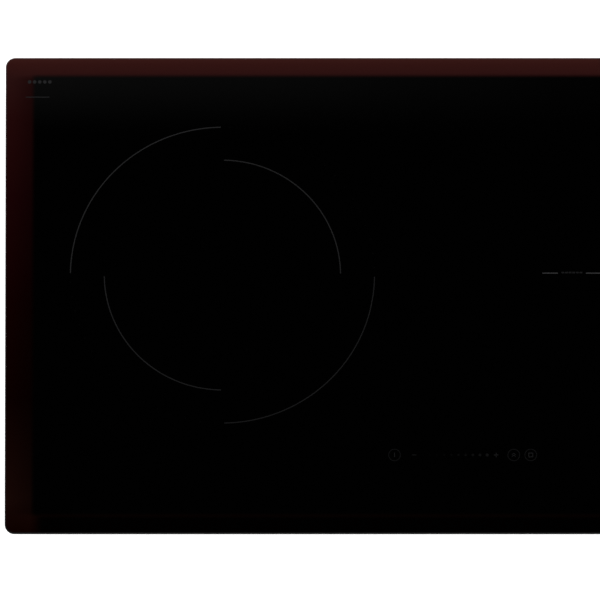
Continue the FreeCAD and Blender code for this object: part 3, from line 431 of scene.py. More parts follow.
@dataclass(frozen=True)
class Foam:
    """Closed-cell foam or rubber with open cells at its cut face."""

    name: str
    colour: Colour
    cell: float = 1400.0

    def build(self) -> bpy.types.Material:
        """Make the material."""
        g = Graph(self.name)
        cell = g.cells(self.cell)
        cloud = g.noise(60.0, 3.0)
        return g.finish(g.surface(
            # Painted shade: the colour is darker at the middle of each cell, where the bump sinks the open
            # cell.
            Base_Color=g.tint(self.colour, 0.62 + cell * 0.55 + cloud * 0.25),
            Roughness=0.86 + cloud * 0.1,
            Normal=g.bump(cell, 0.7, 0.00025),
        ))


@dataclass(frozen=True)
class Litz:
    """Twisted enamelled copper strands wound round a centre."""

    name: str
    centre: Flat = (0.0, 0.0)
    twists: float = 260.0
    colour: Colour = (0.66, 0.27, 0.12)

    def build(self) -> bpy.types.Material:
        """Make the material."""
        g = Graph(self.name)
        across, along = g.x - self.centre[0], g.y - self.centre[1]
        angle = g.math("ARCTAN2", along, across)
        radius = g.math("SQRT", across * across + along * along)
        strand = g.math("SINE", angle * self.twists + radius * 2600.0 + g.z * 2400.0) * 0.5 + 0.5
        heat = g.noise(40.0, 3.0)
        shadow = tuple(value * 0.35 for value in self.colour)
        base = g.mix(g.clamp(strand * 0.8 + heat * 0.3), shadow, self.colour)
        return g.finish(g.surface(
            Base_Color=base,
            Metallic=0.75,
            Roughness=0.34 + heat * 0.16,
            Normal=g.bump(strand, 0.8, 0.0004),
        ))


@dataclass(frozen=True)
class Laminate:
    """A circuit board: solder mask over copper tracks, with bare pads."""

    name: str
    mask: Colour = (0.012, 0.11, 0.04)

    def build(self) -> bpy.types.Material:
        """Make the material."""
        g = Graph(self.name)
        bend = g.noise(26.0, 1.0)
        lane = g.math("FRACT", (g.x + bend * 0.05) * 210.0)
        cross = g.math("FRACT", (g.y - bend * 0.04) * 160.0)
        wide = g.step(abs(lane - 0.5), 0.2, 0.24)
        tall = g.step(abs(cross - 0.5), 0.2, 0.24)
        patch = g.step(g.noise(14.0, 1.0), 0.46, 0.5)
        track = g.mix(patch, wide, tall)
        dot = g.step(g.cells(130.0), 0.16, 0.13)
        tracks = g.mix(track, self.mask, tuple(value * 1.9 for value in self.mask))
        return g.finish(g.surface(
            Base_Color=g.mix(dot, tracks, (0.62, 0.6, 0.52)),
            Roughness=0.34 + dot * 0.1 + bend * 0.1,
            Normal=g.bump(track, 0.3, 0.00004),
        ))


@dataclass(frozen=True)
class Pressed:
    """Pressed mica or sintered ferrite: flakes or grit in a dull body."""

    name: str
    colour: Colour
    fleck: Colour
    scale: float = 240.0
    roughness: float = 0.55

    def build(self) -> bpy.types.Material:
        """Make the material."""
        g = Graph(self.name)
        flake = g.step(g.cells(self.scale), 0.5, 0.2)
        vein = g.noise(self.scale * 0.3, 6.0, g.stretch(1.0, 0.35, 1.0))
        return g.finish(g.surface(
            Base_Color=g.mix(g.clamp(flake * 0.4 + (vein - 0.3) * 0.9), self.colour, self.fleck),
            Roughness=self.roughness + (vein - 0.5) * 0.3,
            Normal=g.bump(vein + flake * 0.3, 0.4, 0.00008),
        ))


@dataclass(frozen=True)
class Enamel:
    """Grey enamel fired on to the glass, thin and slightly uneven, and painted lighter towards the rear."""

    name: str
    level: float

    def build(self) -> bpy.types.Material:
        """Make the material."""
        g = Graph(self.name)
        screen = g.cells(2400.0)
        fade = g.noise(9.0, 2.0)
        # Painted light: g.y makes the enamel lighter towards the rear; fade and screen are the print's own
        # unevenness.
        light = 0.8 + fade * 0.3 + screen * 0.15 + g.y * 0.8
        return g.finish(g.surface(
            Base_Color=g.tint((self.level, self.level, self.level * 1.04), light),
            Roughness=0.55 + screen * 0.15,
            Specular_IOR_Level=0.1,
            Normal=g.bump(screen, 0.2, 0.00002),
        ))


@dataclass(frozen=True)
class BlackGlass:
    """Black glass-ceramic: near-black, with painted light, shade and reflection in its base colour: dark red
    on the rim where light from below would show past the casing.
    """

    name: str
    half_glass: Flat
    half_casing: Flat
    face: float
    body: Colour = (0.0002, 0.0002, 0.0002)
    # The strength of the painted reflection along the rear of the glass.
    glow: float = 0.0022

    def build(self) -> bpy.types.Material:
        """Make the material."""
        g = Graph(self.name)
        past_x = abs(g.x) - self.half_casing[0]
        past_y = abs(g.y) - self.half_casing[1]
        past = g.math("SMOOTH_MAX", past_x, past_y, 0.006)
        rim = g.step(past, -0.003, 0.003)
        depth = g.y / (2.0 * self.half_glass[1]) + 0.5
        # Painted light: the rim's red stands for light from below showing through the glass, painted into the
        # base colour; it is brightest at the rear, darkest about a quarter of the way back from the front,
        # with a small rise at the front edge.
        red = g.ramp(depth, [
            (0.0, (0.0030, 0.0003, 0.0001)),
            (0.07, (0.0060, 0.0018, 0.0012)),
            (0.28, (0.0024, 0.0002, 0.0001)),
            (0.49, (0.0036, 0.0002, 0.0002)),
            (0.70, (0.0070, 0.0008, 0.0010)),
            (0.87, (0.0115, 0.0020, 0.0020)),
            (0.955, (0.0168, 0.0042, 0.0040)),
            (0.985, (0.0235, 0.0055, 0.0048)),
            (1.0, (0.0300, 0.0080, 0.0066)),
        ])
        # Painted shade: with front and middle, lit sets the rim in front of the casing, between its sides, to
        # near-black.
        front = g.step(g.y, -self.half_casing[1] + 0.004, -self.half_casing[1] - 0.004)
        middle = g.step(abs(g.x), self.half_casing[0] + 0.004, self.half_casing[0] - 0.012)
        lit = g.mix(front * middle, red, (0.0002, 0.0001, 0.0001))
        # Painted shade: the side bands of the rim are painted up to 45 per cent darker near the casing's
        # sides.
        beside = g.step(past_y, 0.002, -0.004)
        painted_side_shade = 1.0 - beside * g.step(past_x, 0.028, -0.003) * 0.45
        # Painted reflection: a faint grey glow painted along the rear of the glass, in random patches.
        painted_rear_reflection = g.step(g.y, 0.165, 0.236) * g.step(g.x, 0.42, -0.42) * (0.7 + g.noise(5.0, 1.0) * 0.6)
        dust = g.step(g.noise(900.0, 3.0), 0.72, 0.82) * 0.0006
        # grey holds the painted rear reflection and real specks of dust.
        grey = g.tint((1.0, 1.0, 1.0), painted_rear_reflection * self.glow + dust)
        inner = g.node("ShaderNodeVectorMath", {"operation": "ADD"}, {0: self.body, 1: grey})
        base = g.mix(rim, Sock(g, inner.outputs[0]), g.tint(lit, painted_side_shade))
        wipe = g.noise(7.0, 5.0, g.stretch(1.0, 3.0, 1.0))
        polished = g.surface(
            Base_Color=base,
            Roughness=0.035 + (wipe - 0.5) * 0.03,
            IOR=1.53,
            Specular_IOR_Level=0.5,
        )
        # Painted highlight: the ground edge is pale grey where it lies in front of the casing; elsewhere it
        # takes the glass's base colour, varied at random.
        ground = g.surface(
            Base_Color=g.mix(front, g.tint(base, 0.7 + g.noise(500.0, 2.0) * 0.6), (0.0030, 0.0030, 0.0030)),
            Roughness=0.5,
            Specular_IOR_Level=0.06,
            Normal=g.bump(g.noise(1800.0, 2.0, g.stretch(0.2, 0.2, 3.0)), 0.4, 0.00004),
        )
        edge = g.step(g.z, self.face - 0.00005, self.face - 0.00012)
        return g.finish(g.blend(edge, polished, ground))


# ---------------------------------------------------------------- mesh shop

class Shape:
    """A mesh being made from closed solids."""

    def __init__(self) -> None:
        """Start empty."""
        self.mesh = bmesh.new()

    def prism(self, outline: Sequence[Flat], low: float, high: float) -> None:
        """Add an upright solid over a flat outline.

        Args:
            outline: corners in X and Y, anticlockwise.
            low: its underside.
            high: its top.
        """
        base = [self.mesh.verts.new((x, y, low)) for x, y in outline]
        top = [self.mesh.verts.new((x, y, high)) for x, y in outline]
        count = len(outline)
        self.mesh.faces.new(base[::-1])
        self.mesh.faces.new(top)
        for i in range(count):
            j = (i + 1) % count
            self.mesh.faces.new((base[i], base[j], top[j], top[i]))

    def loft(self, rings: Sequence[Sequence[Point]], closed: bool = False) -> None:
        """Skin a row of rings with the same number of points.

        Args:
            rings: the rings, in order.
            closed: True joins the last ring to the first, False caps both ends.
        """
        rows = [[self.mesh.verts.new(point) for point in ring] for ring in rings]
        pairs = list(zip(rows, rows[1:] + rows[:1])) if closed else list(zip(rows, rows[1:]))
        for near, far in pairs:
            for i in range(len(near)):
                j = (i + 1) % len(near)
                self.mesh.faces.new((near[i], near[j], far[j], far[i]))
        if not closed:
            self.mesh.faces.new(rows[0][::-1])
            self.mesh.faces.new(rows[-1])

    def lathe(self, profile: Sequence[Flat], centre: Point, axis: str = "Z", steps: int = 40) -> None:
        """Turn a closed profile about an axis.

        Args:
            profile: radius and height of each corner; a closed ring clear of the axis, or one that starts and
                ends on it.
            centre: the axis's foot.
            axis: X, Y or Z.
            steps: sides round the axis.
        """
        turn = {
            "X": Matrix.Rotation(math.pi / 2, 4, "Y"),
            "Y": Matrix.Rotation(-math.pi / 2, 4, "X"),
            "Z": Matrix(),
        }
        solid = profile[0][0] == 0.0
        place = Matrix.Translation(centre) @ turn[axis]
        inner = [point for point in profile if not (solid and point[0] == 0.0)]
        rows = []
        for i in range(steps):
            a = 2 * math.pi * i / steps
            rows.append([self.mesh.verts.new(place @ Vector((r * math.cos(a), r * math.sin(a), z)))
                         for r, z in inner])
        last = len(inner) - 1 if solid else len(inner)
        for i in range(steps):
            near, far = rows[i], rows[(i + 1) % steps]
            for j in range(last):
                k = (j + 1) % len(inner)
                self.mesh.faces.new((near[j], far[j], far[k], near[k]))
        if solid:
            self.mesh.faces.new([row[0] for row in rows][::-1])
            self.mesh.faces.new([row[-1] for row in rows])

    def block(self, centre: Point, size: Point, round_edge: float, turn: float = 0.0) -> None:
        """Add a box with rounded edges.

        Args:
            centre: its middle.
            size: its full size.
            round_edge: the edges' radius.
            turn: its turn about Z, in radians.
        """
        part = bmesh.new()
        bmesh.ops.create_cube(part, size=1.0)
        bmesh.ops.scale(part, vec=size, verts=part.verts)
        bmesh.ops.bevel(part, geom=part.edges[:], offset=round_edge, segments=2, affect="EDGES", profile=0.5)
        place = Matrix.Translation(centre) @ Matrix.Rotation(turn, 4, "Z")
        bmesh.ops.transform(part, matrix=place, verts=part.verts)
        spare = bpy.data.meshes.new("spare")
        part.to_mesh(spare)
        part.free()
        self.mesh.from_mesh(spare)
        bpy.data.meshes.remove(spare)

    def tube(self, path: Sequence[Vector], radius: float, sides: int = 8) -> None:
        """Add a round tube along a path of points.

        Args:
            path: the middle line.
            radius: the tube's radius.
            sides: its sides.
        """
        rings = []
        for i, point in enumerate(path):
            along = (path[min(i + 1, len(path) - 1)] - path[max(i - 1, 0)]).normalized()
            side = along.cross(Vector((0, 0, 1)))
            side = side.normalized() if side.length > 1e-3 else Vector((1, 0, 0))
            up = side.cross(along).normalized()
            rings.append([
                point + (side * math.cos(a) + up * math.sin(a)) * radius
                for a in (2 * math.pi * k / sides for k in range(sides))
            ])
        self.loft(rings)

    def done(self, name: str, smooth: bool = True) -> bpy.types.Object:
        """Turn the solids into an object.

        Args:
            name: the object's name.
            smooth: True shades its rounded faces smoothly.

        Returns:
            The object.
        """
        bmesh.ops.recalc_face_normals(self.mesh, faces=self.mesh.faces[:])
        made = bpy.data.meshes.new(name)
        self.mesh.to_mesh(made)
        self.mesh.free()
        thing = bpy.data.objects.new(name, made)
        bpy.context.scene.collection.objects.link(thing)
        if smooth:
            for face in made.polygons:
                face.use_smooth = True
            made.set_sharp_from_angle(angle=math.radians(38))
        return thing


def install(
    thing: bpy.types.Object,
    material: bpy.types.Material,
    body: str = ROOT,
    instead_of: Sequence[str] = (),
) -> bpy.types.Object:
    """Dress a piece and fasten it to its body.

    Args:
        thing: the piece.
        material: its finish.
        body: the CAD body that it rides on.
        instead_of: CAD nodes that it stands for.

    Returns:
        The piece.
    """
    thing.data.materials.clear()
    thing.data.materials.append(material)
    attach(thing, body)
    if instead_of:
        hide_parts(*instead_of)
    LOG.info("%s rides on %s", thing.name, body)
    return thing


def middle_of(node: str) -> Vector:
    """The middle of a CAD node's box."""
    low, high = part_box(node)
    return (Vector(low) + Vector(high)) / 2


def arc_points(centre: Flat, radius: float, start: float, end: float, steps: int) -> List[Flat]:
    """Points along an arc.

    Args:
        centre: its centre.
        radius: its radius.
        start: its first angle, in degrees.
        end: its last angle, in degrees.
        steps: the steps from start to end.

    Returns:
        The points, both ends included.
    """
    points = []
    for i in range(steps + 1):
        a = math.radians(start + (end - start) * i / steps)
        points.append((centre[0] + radius * math.cos(a), centre[1] + radius * math.sin(a)))
    return points


def islands(node: str) -> List[Tuple[Vector, Vector]]:
    """The separate solids of a CAD node.

    Args:
        node: the node's name.

    Returns:
        The lowest and highest corner of each solid, from left to right.
    """
    mesh = FRAME["nodes"][node].data
    owner: Dict[Point, Point] = {}

    def top(key: Point) -> Point:
        """The key that stands for this key's solid."""
        while owner[key] != key:
            owner[key] = owner[owner[key]]
            key = owner[key]
        return key

    keys = [tuple(round(value, 6) for value in vertex.co) for vertex in mesh.vertices]
    for key in keys:
        owner.setdefault(key, key)
    for first, second in (edge.vertices for edge in mesh.edges):
        owner[top(keys[first])] = top(keys[second])
    groups: Dict[Point, List[Vector]] = {}
    for key in owner:
        groups.setdefault(top(key), []).append(Vector(key))
    boxes = []
    for points in groups.values():
        low = Vector(min(point[axis] for point in points) for axis in range(3))
        high = Vector(max(point[axis] for point in points) for axis in range(3))
        boxes.append((low, high))
    return sorted(boxes, key=lambda pair: (round(pair[0].x, 4), round(pair[0].y, 4), round(pair[0].z, 4)))


def ring_radii(node: str) -> Tuple[float, float]:
    """The inner and outer radius of a ring-shaped CAD node about its own middle."""
    centre = middle_of(node)
    reach = [math.hypot(v.co.x - centre.x, v.co.y - centre.y) for v in FRAME["nodes"][node].data.vertices]
    return min(reach), max(reach)


# ---------------------------------------------------------------- marks on the glass

@dataclass
class Marks:
    """The enamel marks printed on the glass."""

    face: float
    thick: float = 0.00003
    line: float = 0.0011
    large_ring: float = 0.1555
    inner_ring: float = 0.1208
    end_gap: float = 0.7
    dot_step: float = 5.625
    dot: float = 0.0006
    sides: int = 48
    register: Flat = (0.00075, -0.00105)

    def build(self) -> None:
        """Make every mark."""
        self.zone_rings()
        self.zone_label()
        self.key_row()
        self.slider()
        self.corner_marks()

    def _install(self, shape: Shape, name: str, level: float) -> None:
        """Print one group of marks at a grey level; the levels differ from group to group, set as painted
        light and shade over one enamel.
        """
        print_run = shape.done(name, False)
        print_run.data.transform(Matrix.Translation((*self.register, 0.0)))
        install(print_run, Enamel(f"enamel_{name}", level).build())

    def _top(self) -> Tuple[float, float]:
        """Underside and top of the enamel."""
        return self.face - self.thick, self.face + self.thick

    def _arc(self, shape: Shape, centre: Flat, radius: float, start: float, end: float) -> None:
        """Add one printed arc, with its angles in degrees."""
        outer = arc_points(centre, radius + self.line / 2, start, end, self.sides)
        inner = arc_points(centre, radius - self.line / 2, start, end, self.sides)
        shape.prism(outer + inner[::-1], *self._top())

    def _disc(self, shape: Shape, centre: Flat, radius: float) -> None:
        """Add one printed dot."""
        shape.prism(arc_points(centre, radius, 0.0, 342.0, 19), *self._top())

    def _bar(self, shape: Shape, centre: Flat, width: float, depth: float) -> None:
        """Add one printed bar."""
        x, y, w, d = *centre, width / 2, depth / 2
        shape.prism([(x - w, y - d), (x + w, y - d), (x + w, y + d), (x - w, y + d)], *self._top())

    def zone_rings(self) -> None:
        """Two rings round the large zone, drawn in quadrants, with dots between the outer ones."""
        centre = middle_of("left_coil_carrier")[:2]
        # The quadrants of one print get their own grey levels, the rear ones lighter: painted light and
        # shade.
        plans = [
            ("ring_rear_left", self.large_ring, 90, 0.0095),
            ("ring_front_right", self.large_ring, 270, 0.0062),
            ("ring_inner_rear", self.inner_ring, 0, 0.0085),
            ("ring_inner_front", self.inner_ring, 180, 0.0075),
        ]
        for name, radius, start, level in plans:
            shape = Shape()
            self._arc(shape, centre, radius, start + self.end_gap, start + 90 - self.end_gap)
            self._install(shape, name, level)
        dots = Shape()
        count = int(90 / self.dot_step)
        for quadrant in (0, 180):
            for i in range(count):
                angle = math.radians(quadrant + self.dot_step * (i + 0.5))
                across, along = self.large_ring * math.cos(angle), self.large_ring * math.sin(angle)
                self._disc(dots, (centre[0] + across, centre[1] + along), self.dot)
        self._install(dots, "ring_dots", 0.0007)

    def zone_label(self) -> None:
        """The label between the two right zones: a line each side of a row of small plain bars."""
        front, rear = middle_of("front_coil_carrier"), middle_of("rear_coil_carrier")
        x, y = front.x, (front.y + rear.y) / 2
        lines = Shape()
        for side in (-1, 1):
            self._bar(lines, (x + side * 0.0222, y), 0.0158, self.line)
        self._install(lines, "label_lines", 0.0195)
        sign = Shape()
        for i in range(6):
            self._bar(sign, (x + (i - 2.5) * 0.0037, y + 0.0006), 0.0030, 0.0017)
        self._install(sign, "label_bars", 0.0055)

    def key_places(self) -> Tuple[float, float, float, float]:
        """X of the on/off, boost and timer keys, and the Y of their row."""
        low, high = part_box("key_pads")
        pad = (high[1] - low[1]) / 2
        timer = high[0] - pad
        return low[0] + pad, timer - 0.0174, timer, (low[1] + high[1]) / 2

    def key_row(self) -> None:
        """The three round keys, each with a plain symbol."""
        power, boost, timer, y = self.key_places()
        rings = Shape()
        for x in (power, boost, timer):
            for half in (0, 180):
                outer = arc_points((x, y), 0.0064, half, half + 180, self.sides)
                inner = arc_points((x, y), 0.0056, half, half + 180, self.sides)
                rings.prism(outer + inner[::-1], *self._top())
        self._install(rings, "key_rings", 0.0036)
        symbols = Shape()
        self._bar(symbols, (power, y), 0.0008, 0.0046)
        for step in (0.0, 0.0020):
            base = y - 0.0020 + step
            symbols.prism([(boost - 0.0020, base), (boost, base + 0.0014), (boost + 0.0020, base),
                           (boost + 0.0020, base + 0.0008), (boost, base + 0.0022),
                           (boost - 0.0020, base + 0.0008)], *self._top())
        for side in (-1, 1):
            self._bar(symbols, (timer + side * 0.0020, y), 0.0008, 0.0048)
            self._bar(symbols, (timer, y + side * 0.0020), 0.0032, 0.0008)
        self._install(symbols, "key_symbols", 0.0070)

    def slider(self) -> None:
        """The slider: minus, ten growing dots and plus."""
        low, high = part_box("key_pads")
        start, y = low[0] + 0.0337, self.key_places()[3]
        count, pitch = 10, 0.00732
        for i in range(count):
            share = (i + 1) / count
            shape = Shape()
            self._disc(shape, (start + pitch * i, y), 0.0006 + 0.0010 * share)
            # The dots grow in size, and their grey rises from dot to dot as painted light.
            self._install(shape, f"slider_dot_{i + 1:02d}", 0.0001 + 0.0038 * share * share)
        signs = Shape()
        self._bar(signs, (start - 0.0087, y), 0.0046, 0.0009)
        self._install(signs, "slider_minus", 0.0042)
        plus = Shape()
        x = start + 0.0751
        self._bar(plus, (x, y), 0.0048, 0.0010)
        for side in (-1, 1):
            self._bar(plus, (x, y + side * 0.00145), 0.0010, 0.0019)
        self._install(plus, "slider_plus", 0.0058)

    def corner_marks(self) -> None:
        """A short row of plain dots over a fine line in the rear left corner."""
        low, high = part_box("glass_top")
        x, y = low[0] + 0.034, high[1] - 0.0245
        shape = Shape()
        for i in range(5):
            self._disc(shape, (x + (i - 2) * 0.0052, y), 0.0018)
        self._bar(shape, (x - 0.0022, y - 0.0160), 0.0240, 0.0007)
        self._install(shape, "corner_marks", 0.0098)


# ---------------------------------------------------------------- casing

@dataclass
class CasingTrim:
    """What is pressed into and fastened to the outside of the casing."""

    bead_rise: float = 0.0006
    bead_wide: float = 0.005
    screw: Rolled = Rolled("zinc_screw", (0.60, 0.58, 0.50), 0.3, (300.0, 300.0, 300.0))

    def build(self) -> None:
        """Make every piece of trim."""
        self.beads()
        self.spot_welds()
        self.screws()
        self.inlet_bush()
        self.lid_ribs()
        self.seal_joint()

    def _bead(self, shape: Shape, axis: str, wall: float, start: float, end: float, level: float) -> None:
        """Add one half-round bead along a wall.

        Args:
            shape: the mesh that it joins.
            axis: x or y, the way it runs.
            wall: the wall's place on the other axis.
            start: where it starts.
            end: where it ends.
            level: its height.
        """
        side = 1 if wall > 0 else -1
        steps = 14
        rings = []
        for i in range(steps + 1):
            share = i / steps
            along = start + (end - start) * share
            swell = min(1.0, 8 * share, 8 * (1 - share)) ** 0.5 + 0.02
            ring = []
            for k in range(9):
                a = math.pi * k / 8
                out = wall + side * (self.bead_rise * math.sin(a) * swell - 0.0001)
                up = level + self.bead_wide / 2 * math.cos(a) * (0.4 + 0.6 * min(swell, 1.0))
                ring.append((along, out, up) if axis == "x" else (out, along, up))
            rings.append(ring)
        shape.loft(rings)

    def beads(self) -> None:
        """Stiffening beads pressed outwards along the casing's walls."""
        low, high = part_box("lower_casing")
        shape = Shape()
        for level in (0.011, 0.0305):
            for x in (low[0], high[0]):
                self._bead(shape, "y", x, low[1] + 0.11, high[1] - 0.11, level)
            self._bead(shape, "x", high[1], low[0] + 0.04, -0.02, level)
            self._bead(shape, "x", high[1], 0.02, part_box("terminal_box")[0][0] - 0.03, level)
        install(shape.done("wall_beads"), Galvanised("galvanised_beads").build())

    def spot_welds(self) -> None:
        """Shallow spot-weld marks near the casing's corners."""
        low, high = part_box("lower_casing")
        profile = [(0.0, 0.0), (0.0030, 0.0), (0.0028, 0.00012),
                   (0.0020, 0.00018), (0.0016, 0.00008), (0.0, 0.00008)]
        shape = Shape()
        for x, turn in ((low[0], -1), (high[0], 1)):
            for y in (low[1] + 0.02, low[1] + 0.045, high[1] - 0.045, high[1] - 0.02):
                for z in (0.012, 0.026):
                    flat = [(r, turn * h) for r, h in profile]
                    shape.lathe(flat, (x, y, z), "X", 20)
        welded = Galvanised("galvanised_welds", (0.42, 0.43, 0.44)).build()
        install(shape.done("spot_welds"), welded)

    def screws(self) -> None:
        """Pan-head screws with a driver recess, one for each solid of the screw node."""
        shape = Shape()
        for low, high in islands("sheet_screws"):
            size = high - low
            middle = (low + high) / 2
            pairs = {"X": abs(size.y - size.z), "Y": abs(size.x - size.z), "Z": abs(size.x - size.y)}
            axis = min(pairs, key=lambda key: pairs[key])
            index = "XYZ".index(axis)
            side = 1.0 if axis == "Z" or middle[index] > 0 else -1.0
            length, radius = size[index], size[(index + 1) % 3] / 2
            tip = middle - Vector([side * length / 2 if i == index else 0.0 for i in range(3)])
            shank, head = radius * 0.46, 0.0018
            profile = [(0.0, 0.0), (shank * 0.6, 0.0)]
            pitch = 0.0008
            turns = int((length - head - pitch) / pitch)
            for i in range(turns):
                base = pitch * (i + 0.5)
                profile += [(shank * 0.8, base), (shank, base + pitch / 2)]
            profile += [(shank * 0.8, length - head), (radius * 0.96, length - head),
                        (radius, length - head * 0.7), (radius * 0.86, length - head * 0.25),
                        (radius * 0.5, length), (radius * 0.38, length), (radius * 0.2, length - head * 0.6),
                        (0.0, length - head * 0.6)]
            shape.lathe([(r, side * h) for r, h in profile], tuple(tip), axis, 24)
        install(shape.done("pan_head_screws"), self.screw.build(), ROOT, ["sheet_screws"])

    def inlet_bush(self) -> None:
        """The lip of the rubber bush round the cable inlet."""
        mount = next(item for item in FRAME["record"]["mounts"] if item["name"] == "cable_inlet")
        radius = mount["dims"]["r_mm"] / 1000
        x, _, z = mount["pos_m"]
        y = middle_of("terminal_lid").y - 0.0028
        wide = 0.0024
        profile = [(radius + wide / 2 + wide / 2 * math.cos(a), 0.0007 * math.sin(a))
                   for a in (2 * math.pi * k / 12 for k in range(12))]
        shape = Shape()
        shape.lathe(profile, (x, y + 0.0004, z), "Y", 48)
        rubber = Foam("black_rubber", (0.02, 0.02, 0.02), 3000.0).build()
        install(shape.done("inlet_bush"), rubber)

    def lid_ribs(self) -> None:
        """Raised ribs and a finger pad on the terminal lid."""
        low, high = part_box("terminal_lid")
        face = low[1] + 0.0037
        top, base = high[2] - 0.004, low[2] + 0.010
        shape = Shape()
        for i in range(4):
            x = low[0] + (high[0] - low[0]) * (i + 1) / 5
            shape.block((x, face, (top + base) / 2), (0.0022, 0.0009, top - base), 0.0003)
        middle = (low[0] + high[0]) / 2
        for i in range(4):
            shape.block((middle, face, base + 0.003 + i * 0.0024), (0.0085, 0.0011, 0.0010), 0.0003)
        nylon = Moulding("lid_nylon", (0.50, 0.50, 0.48), 0.45).build()
        install(shape.done("lid_ribs"), nylon, "lid")

    def seal_joint(self) -> None:
        """The overlapped end of the foam seal at the rear."""
        low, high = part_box("rim_seal")
        shape = Shape()
        shape.block((-0.03, high[1] - 0.0041, low[2] + 0.0006), (0.012, 0.0078, 0.0010), 0.0003, 0.0)
        install(shape.done("seal_joint"), Foam("seal_foam_joint", (0.24, 0.24, 0.24)).build())


@dataclass
class SpringLeaf:
    """One formed spring clip on a side of the casing."""

    node: str
    body: str
    thick: float = 0.0008
    steps: int = 22

    def build(self, material: bpy.types.Material) -> None:
        """Make the leaf and dress it.

        Args:
            material: the clip's finish.
        """
        low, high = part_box(self.node)
        side = 1 if low[0] > 0 else -1
        wall = min(abs(low[0]), abs(high[0]))
        reach = abs(high[0] - low[0]) - self.thick
        tall, middle = high[2] - low[2], (low[1] + high[1]) / 2
        half = (high[1] - low[1]) / 2
        bulge = 0.75
        rings = []
        for i in range(self.steps + 1):
            share = i / self.steps
            out = reach * (math.sin(math.pi / 2 * min(share / bulge, 1.0)) ** 2)
            if share > bulge:
                out = reach * (1 - 0.38 * ((share - bulge) / (1 - bulge)) ** 1.5)
            z = low[2] + tall * share
            taper = half * (1.0 - 0.22 * max(0.0, (share - 0.55) / 0.45) ** 2)
            press = 0.0005 * math.sin(math.pi * share)
            ring = []
            for across in (-1.0, -0.55, -0.4, 0.0, 0.4, 0.55, 1.0):
                dip = press if abs(across) < 0.5 else 0.0
                ring.append((side * (wall + out - dip + 0.0001), middle + across * taper, z))
            for across in (1.0, 0.55, 0.4, 0.0, -0.4, -0.55, -1.0):
                dip = press if abs(across) < 0.5 else 0.0
                ring.append((side * (wall + out - dip + self.thick - 0.0001), middle + across * taper, z))
            rings.append(ring)
        shape = Shape()
        shape.loft(rings)
        install(shape.done(f"{self.node}_leaf"), material, self.body, [self.node])


# ---------------------------------------------------------------- coils

@dataclass
class FlatCoil:
    """A winding of litz wire, laid as a flat spiral."""

    node: str
    steps: int = 64

    def build(self) -> None:
        """Make the spiral in the place of its CAD ring."""
        inner, outer = ring_radii(self.node)
        low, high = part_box(self.node)
        centre = middle_of(self.node)
        wire = (high[2] - low[2]) / 2
        turns = int((outer - inner) / (2 * wire))
        pitch = (outer - inner - 2 * wire) / max(turns - 1, 1)
        path = []
        total = int((turns - 1) * self.steps) if turns > 1 else self.steps
        for i in range(total + 1):
            turn = i / self.steps
            radius = inner + wire + pitch * turn
            a = 2 * math.pi * turn
            path.append(Vector((centre.x + radius * math.cos(a), centre.y + radius * math.sin(a), centre.z)))
        shape = Shape()
        shape.tube(path, wire * 0.97, 10)
        finish = Litz(f"litz_{self.node}", (centre.x, centre.y))
        install(shape.done(f"{self.node}_spiral"), finish.build(), ROOT, [self.node])


@dataclass
class Chokes:
    """Ring chokes with their turns of wire."""

    turns: int = 26
    wire: float = 0.0011

    def build(self) -> None:
        """Wind each choke of the power boards."""
        shape = Shape()
        cores = Shape()
        centre_of = (0.0, 0.0)
        for low, high in islands("power_chokes"):
            centre = (low + high) / 2
            outer, hole = (high.x - low.x) / 2, 0.008
            ring, tall = (outer + hole) / 2, (high.z - low.z) / 2
            wide = (outer - hole) / 2
            corner = 0.003
            profile = []
            for sx, sz, start in ((1, 1, 0), (-1, 1, 90), (-1, -1, 180), (1, -1, 270)):
                for k in range(4):
                    a = math.radians(start + 30 * k)
                    profile.append((ring + sx * (wide - corner - 0.0024) + corner * math.cos(a),
                                    sz * (tall - corner - 0.0024) + corner * math.sin(a)))
            cores.lathe(profile, tuple(centre), "Z", 48)
            path = []
            steps = self.turns * 12
            for i in range(steps + 1):
                share = i / steps
                round_ring = math.radians(20) + math.radians(320) * share
                a = 2 * math.pi * self.turns * share
                r = ring + (wide - self.wire) * max(-1.0, min(1.0, 1.35 * math.cos(a)))
                z = (tall - self.wire) * max(-1.0, min(1.0, 1.35 * math.sin(a)))
                path.append(centre + Vector((r * math.cos(round_ring), r * math.sin(round_ring), z)))
            shape.tube(path, self.wire, 6)
            centre_of = (centre.x, centre.y)
        pressed = Pressed("choke_core", (0.05, 0.09, 0.06), (0.10, 0.16, 0.10)).build()
        install(cores.done("choke_cores"), pressed, ROOT, ["power_chokes"])
        install(shape.done("choke_turns"), Litz("choke_wire", centre_of, 40.0).build())


class Package(Enum):
    """How a moulded component is shaped."""

    FILM = "film"
    RELAY = "relay"
    TRANSISTOR = "transistor"
    DISPLAY = "display"


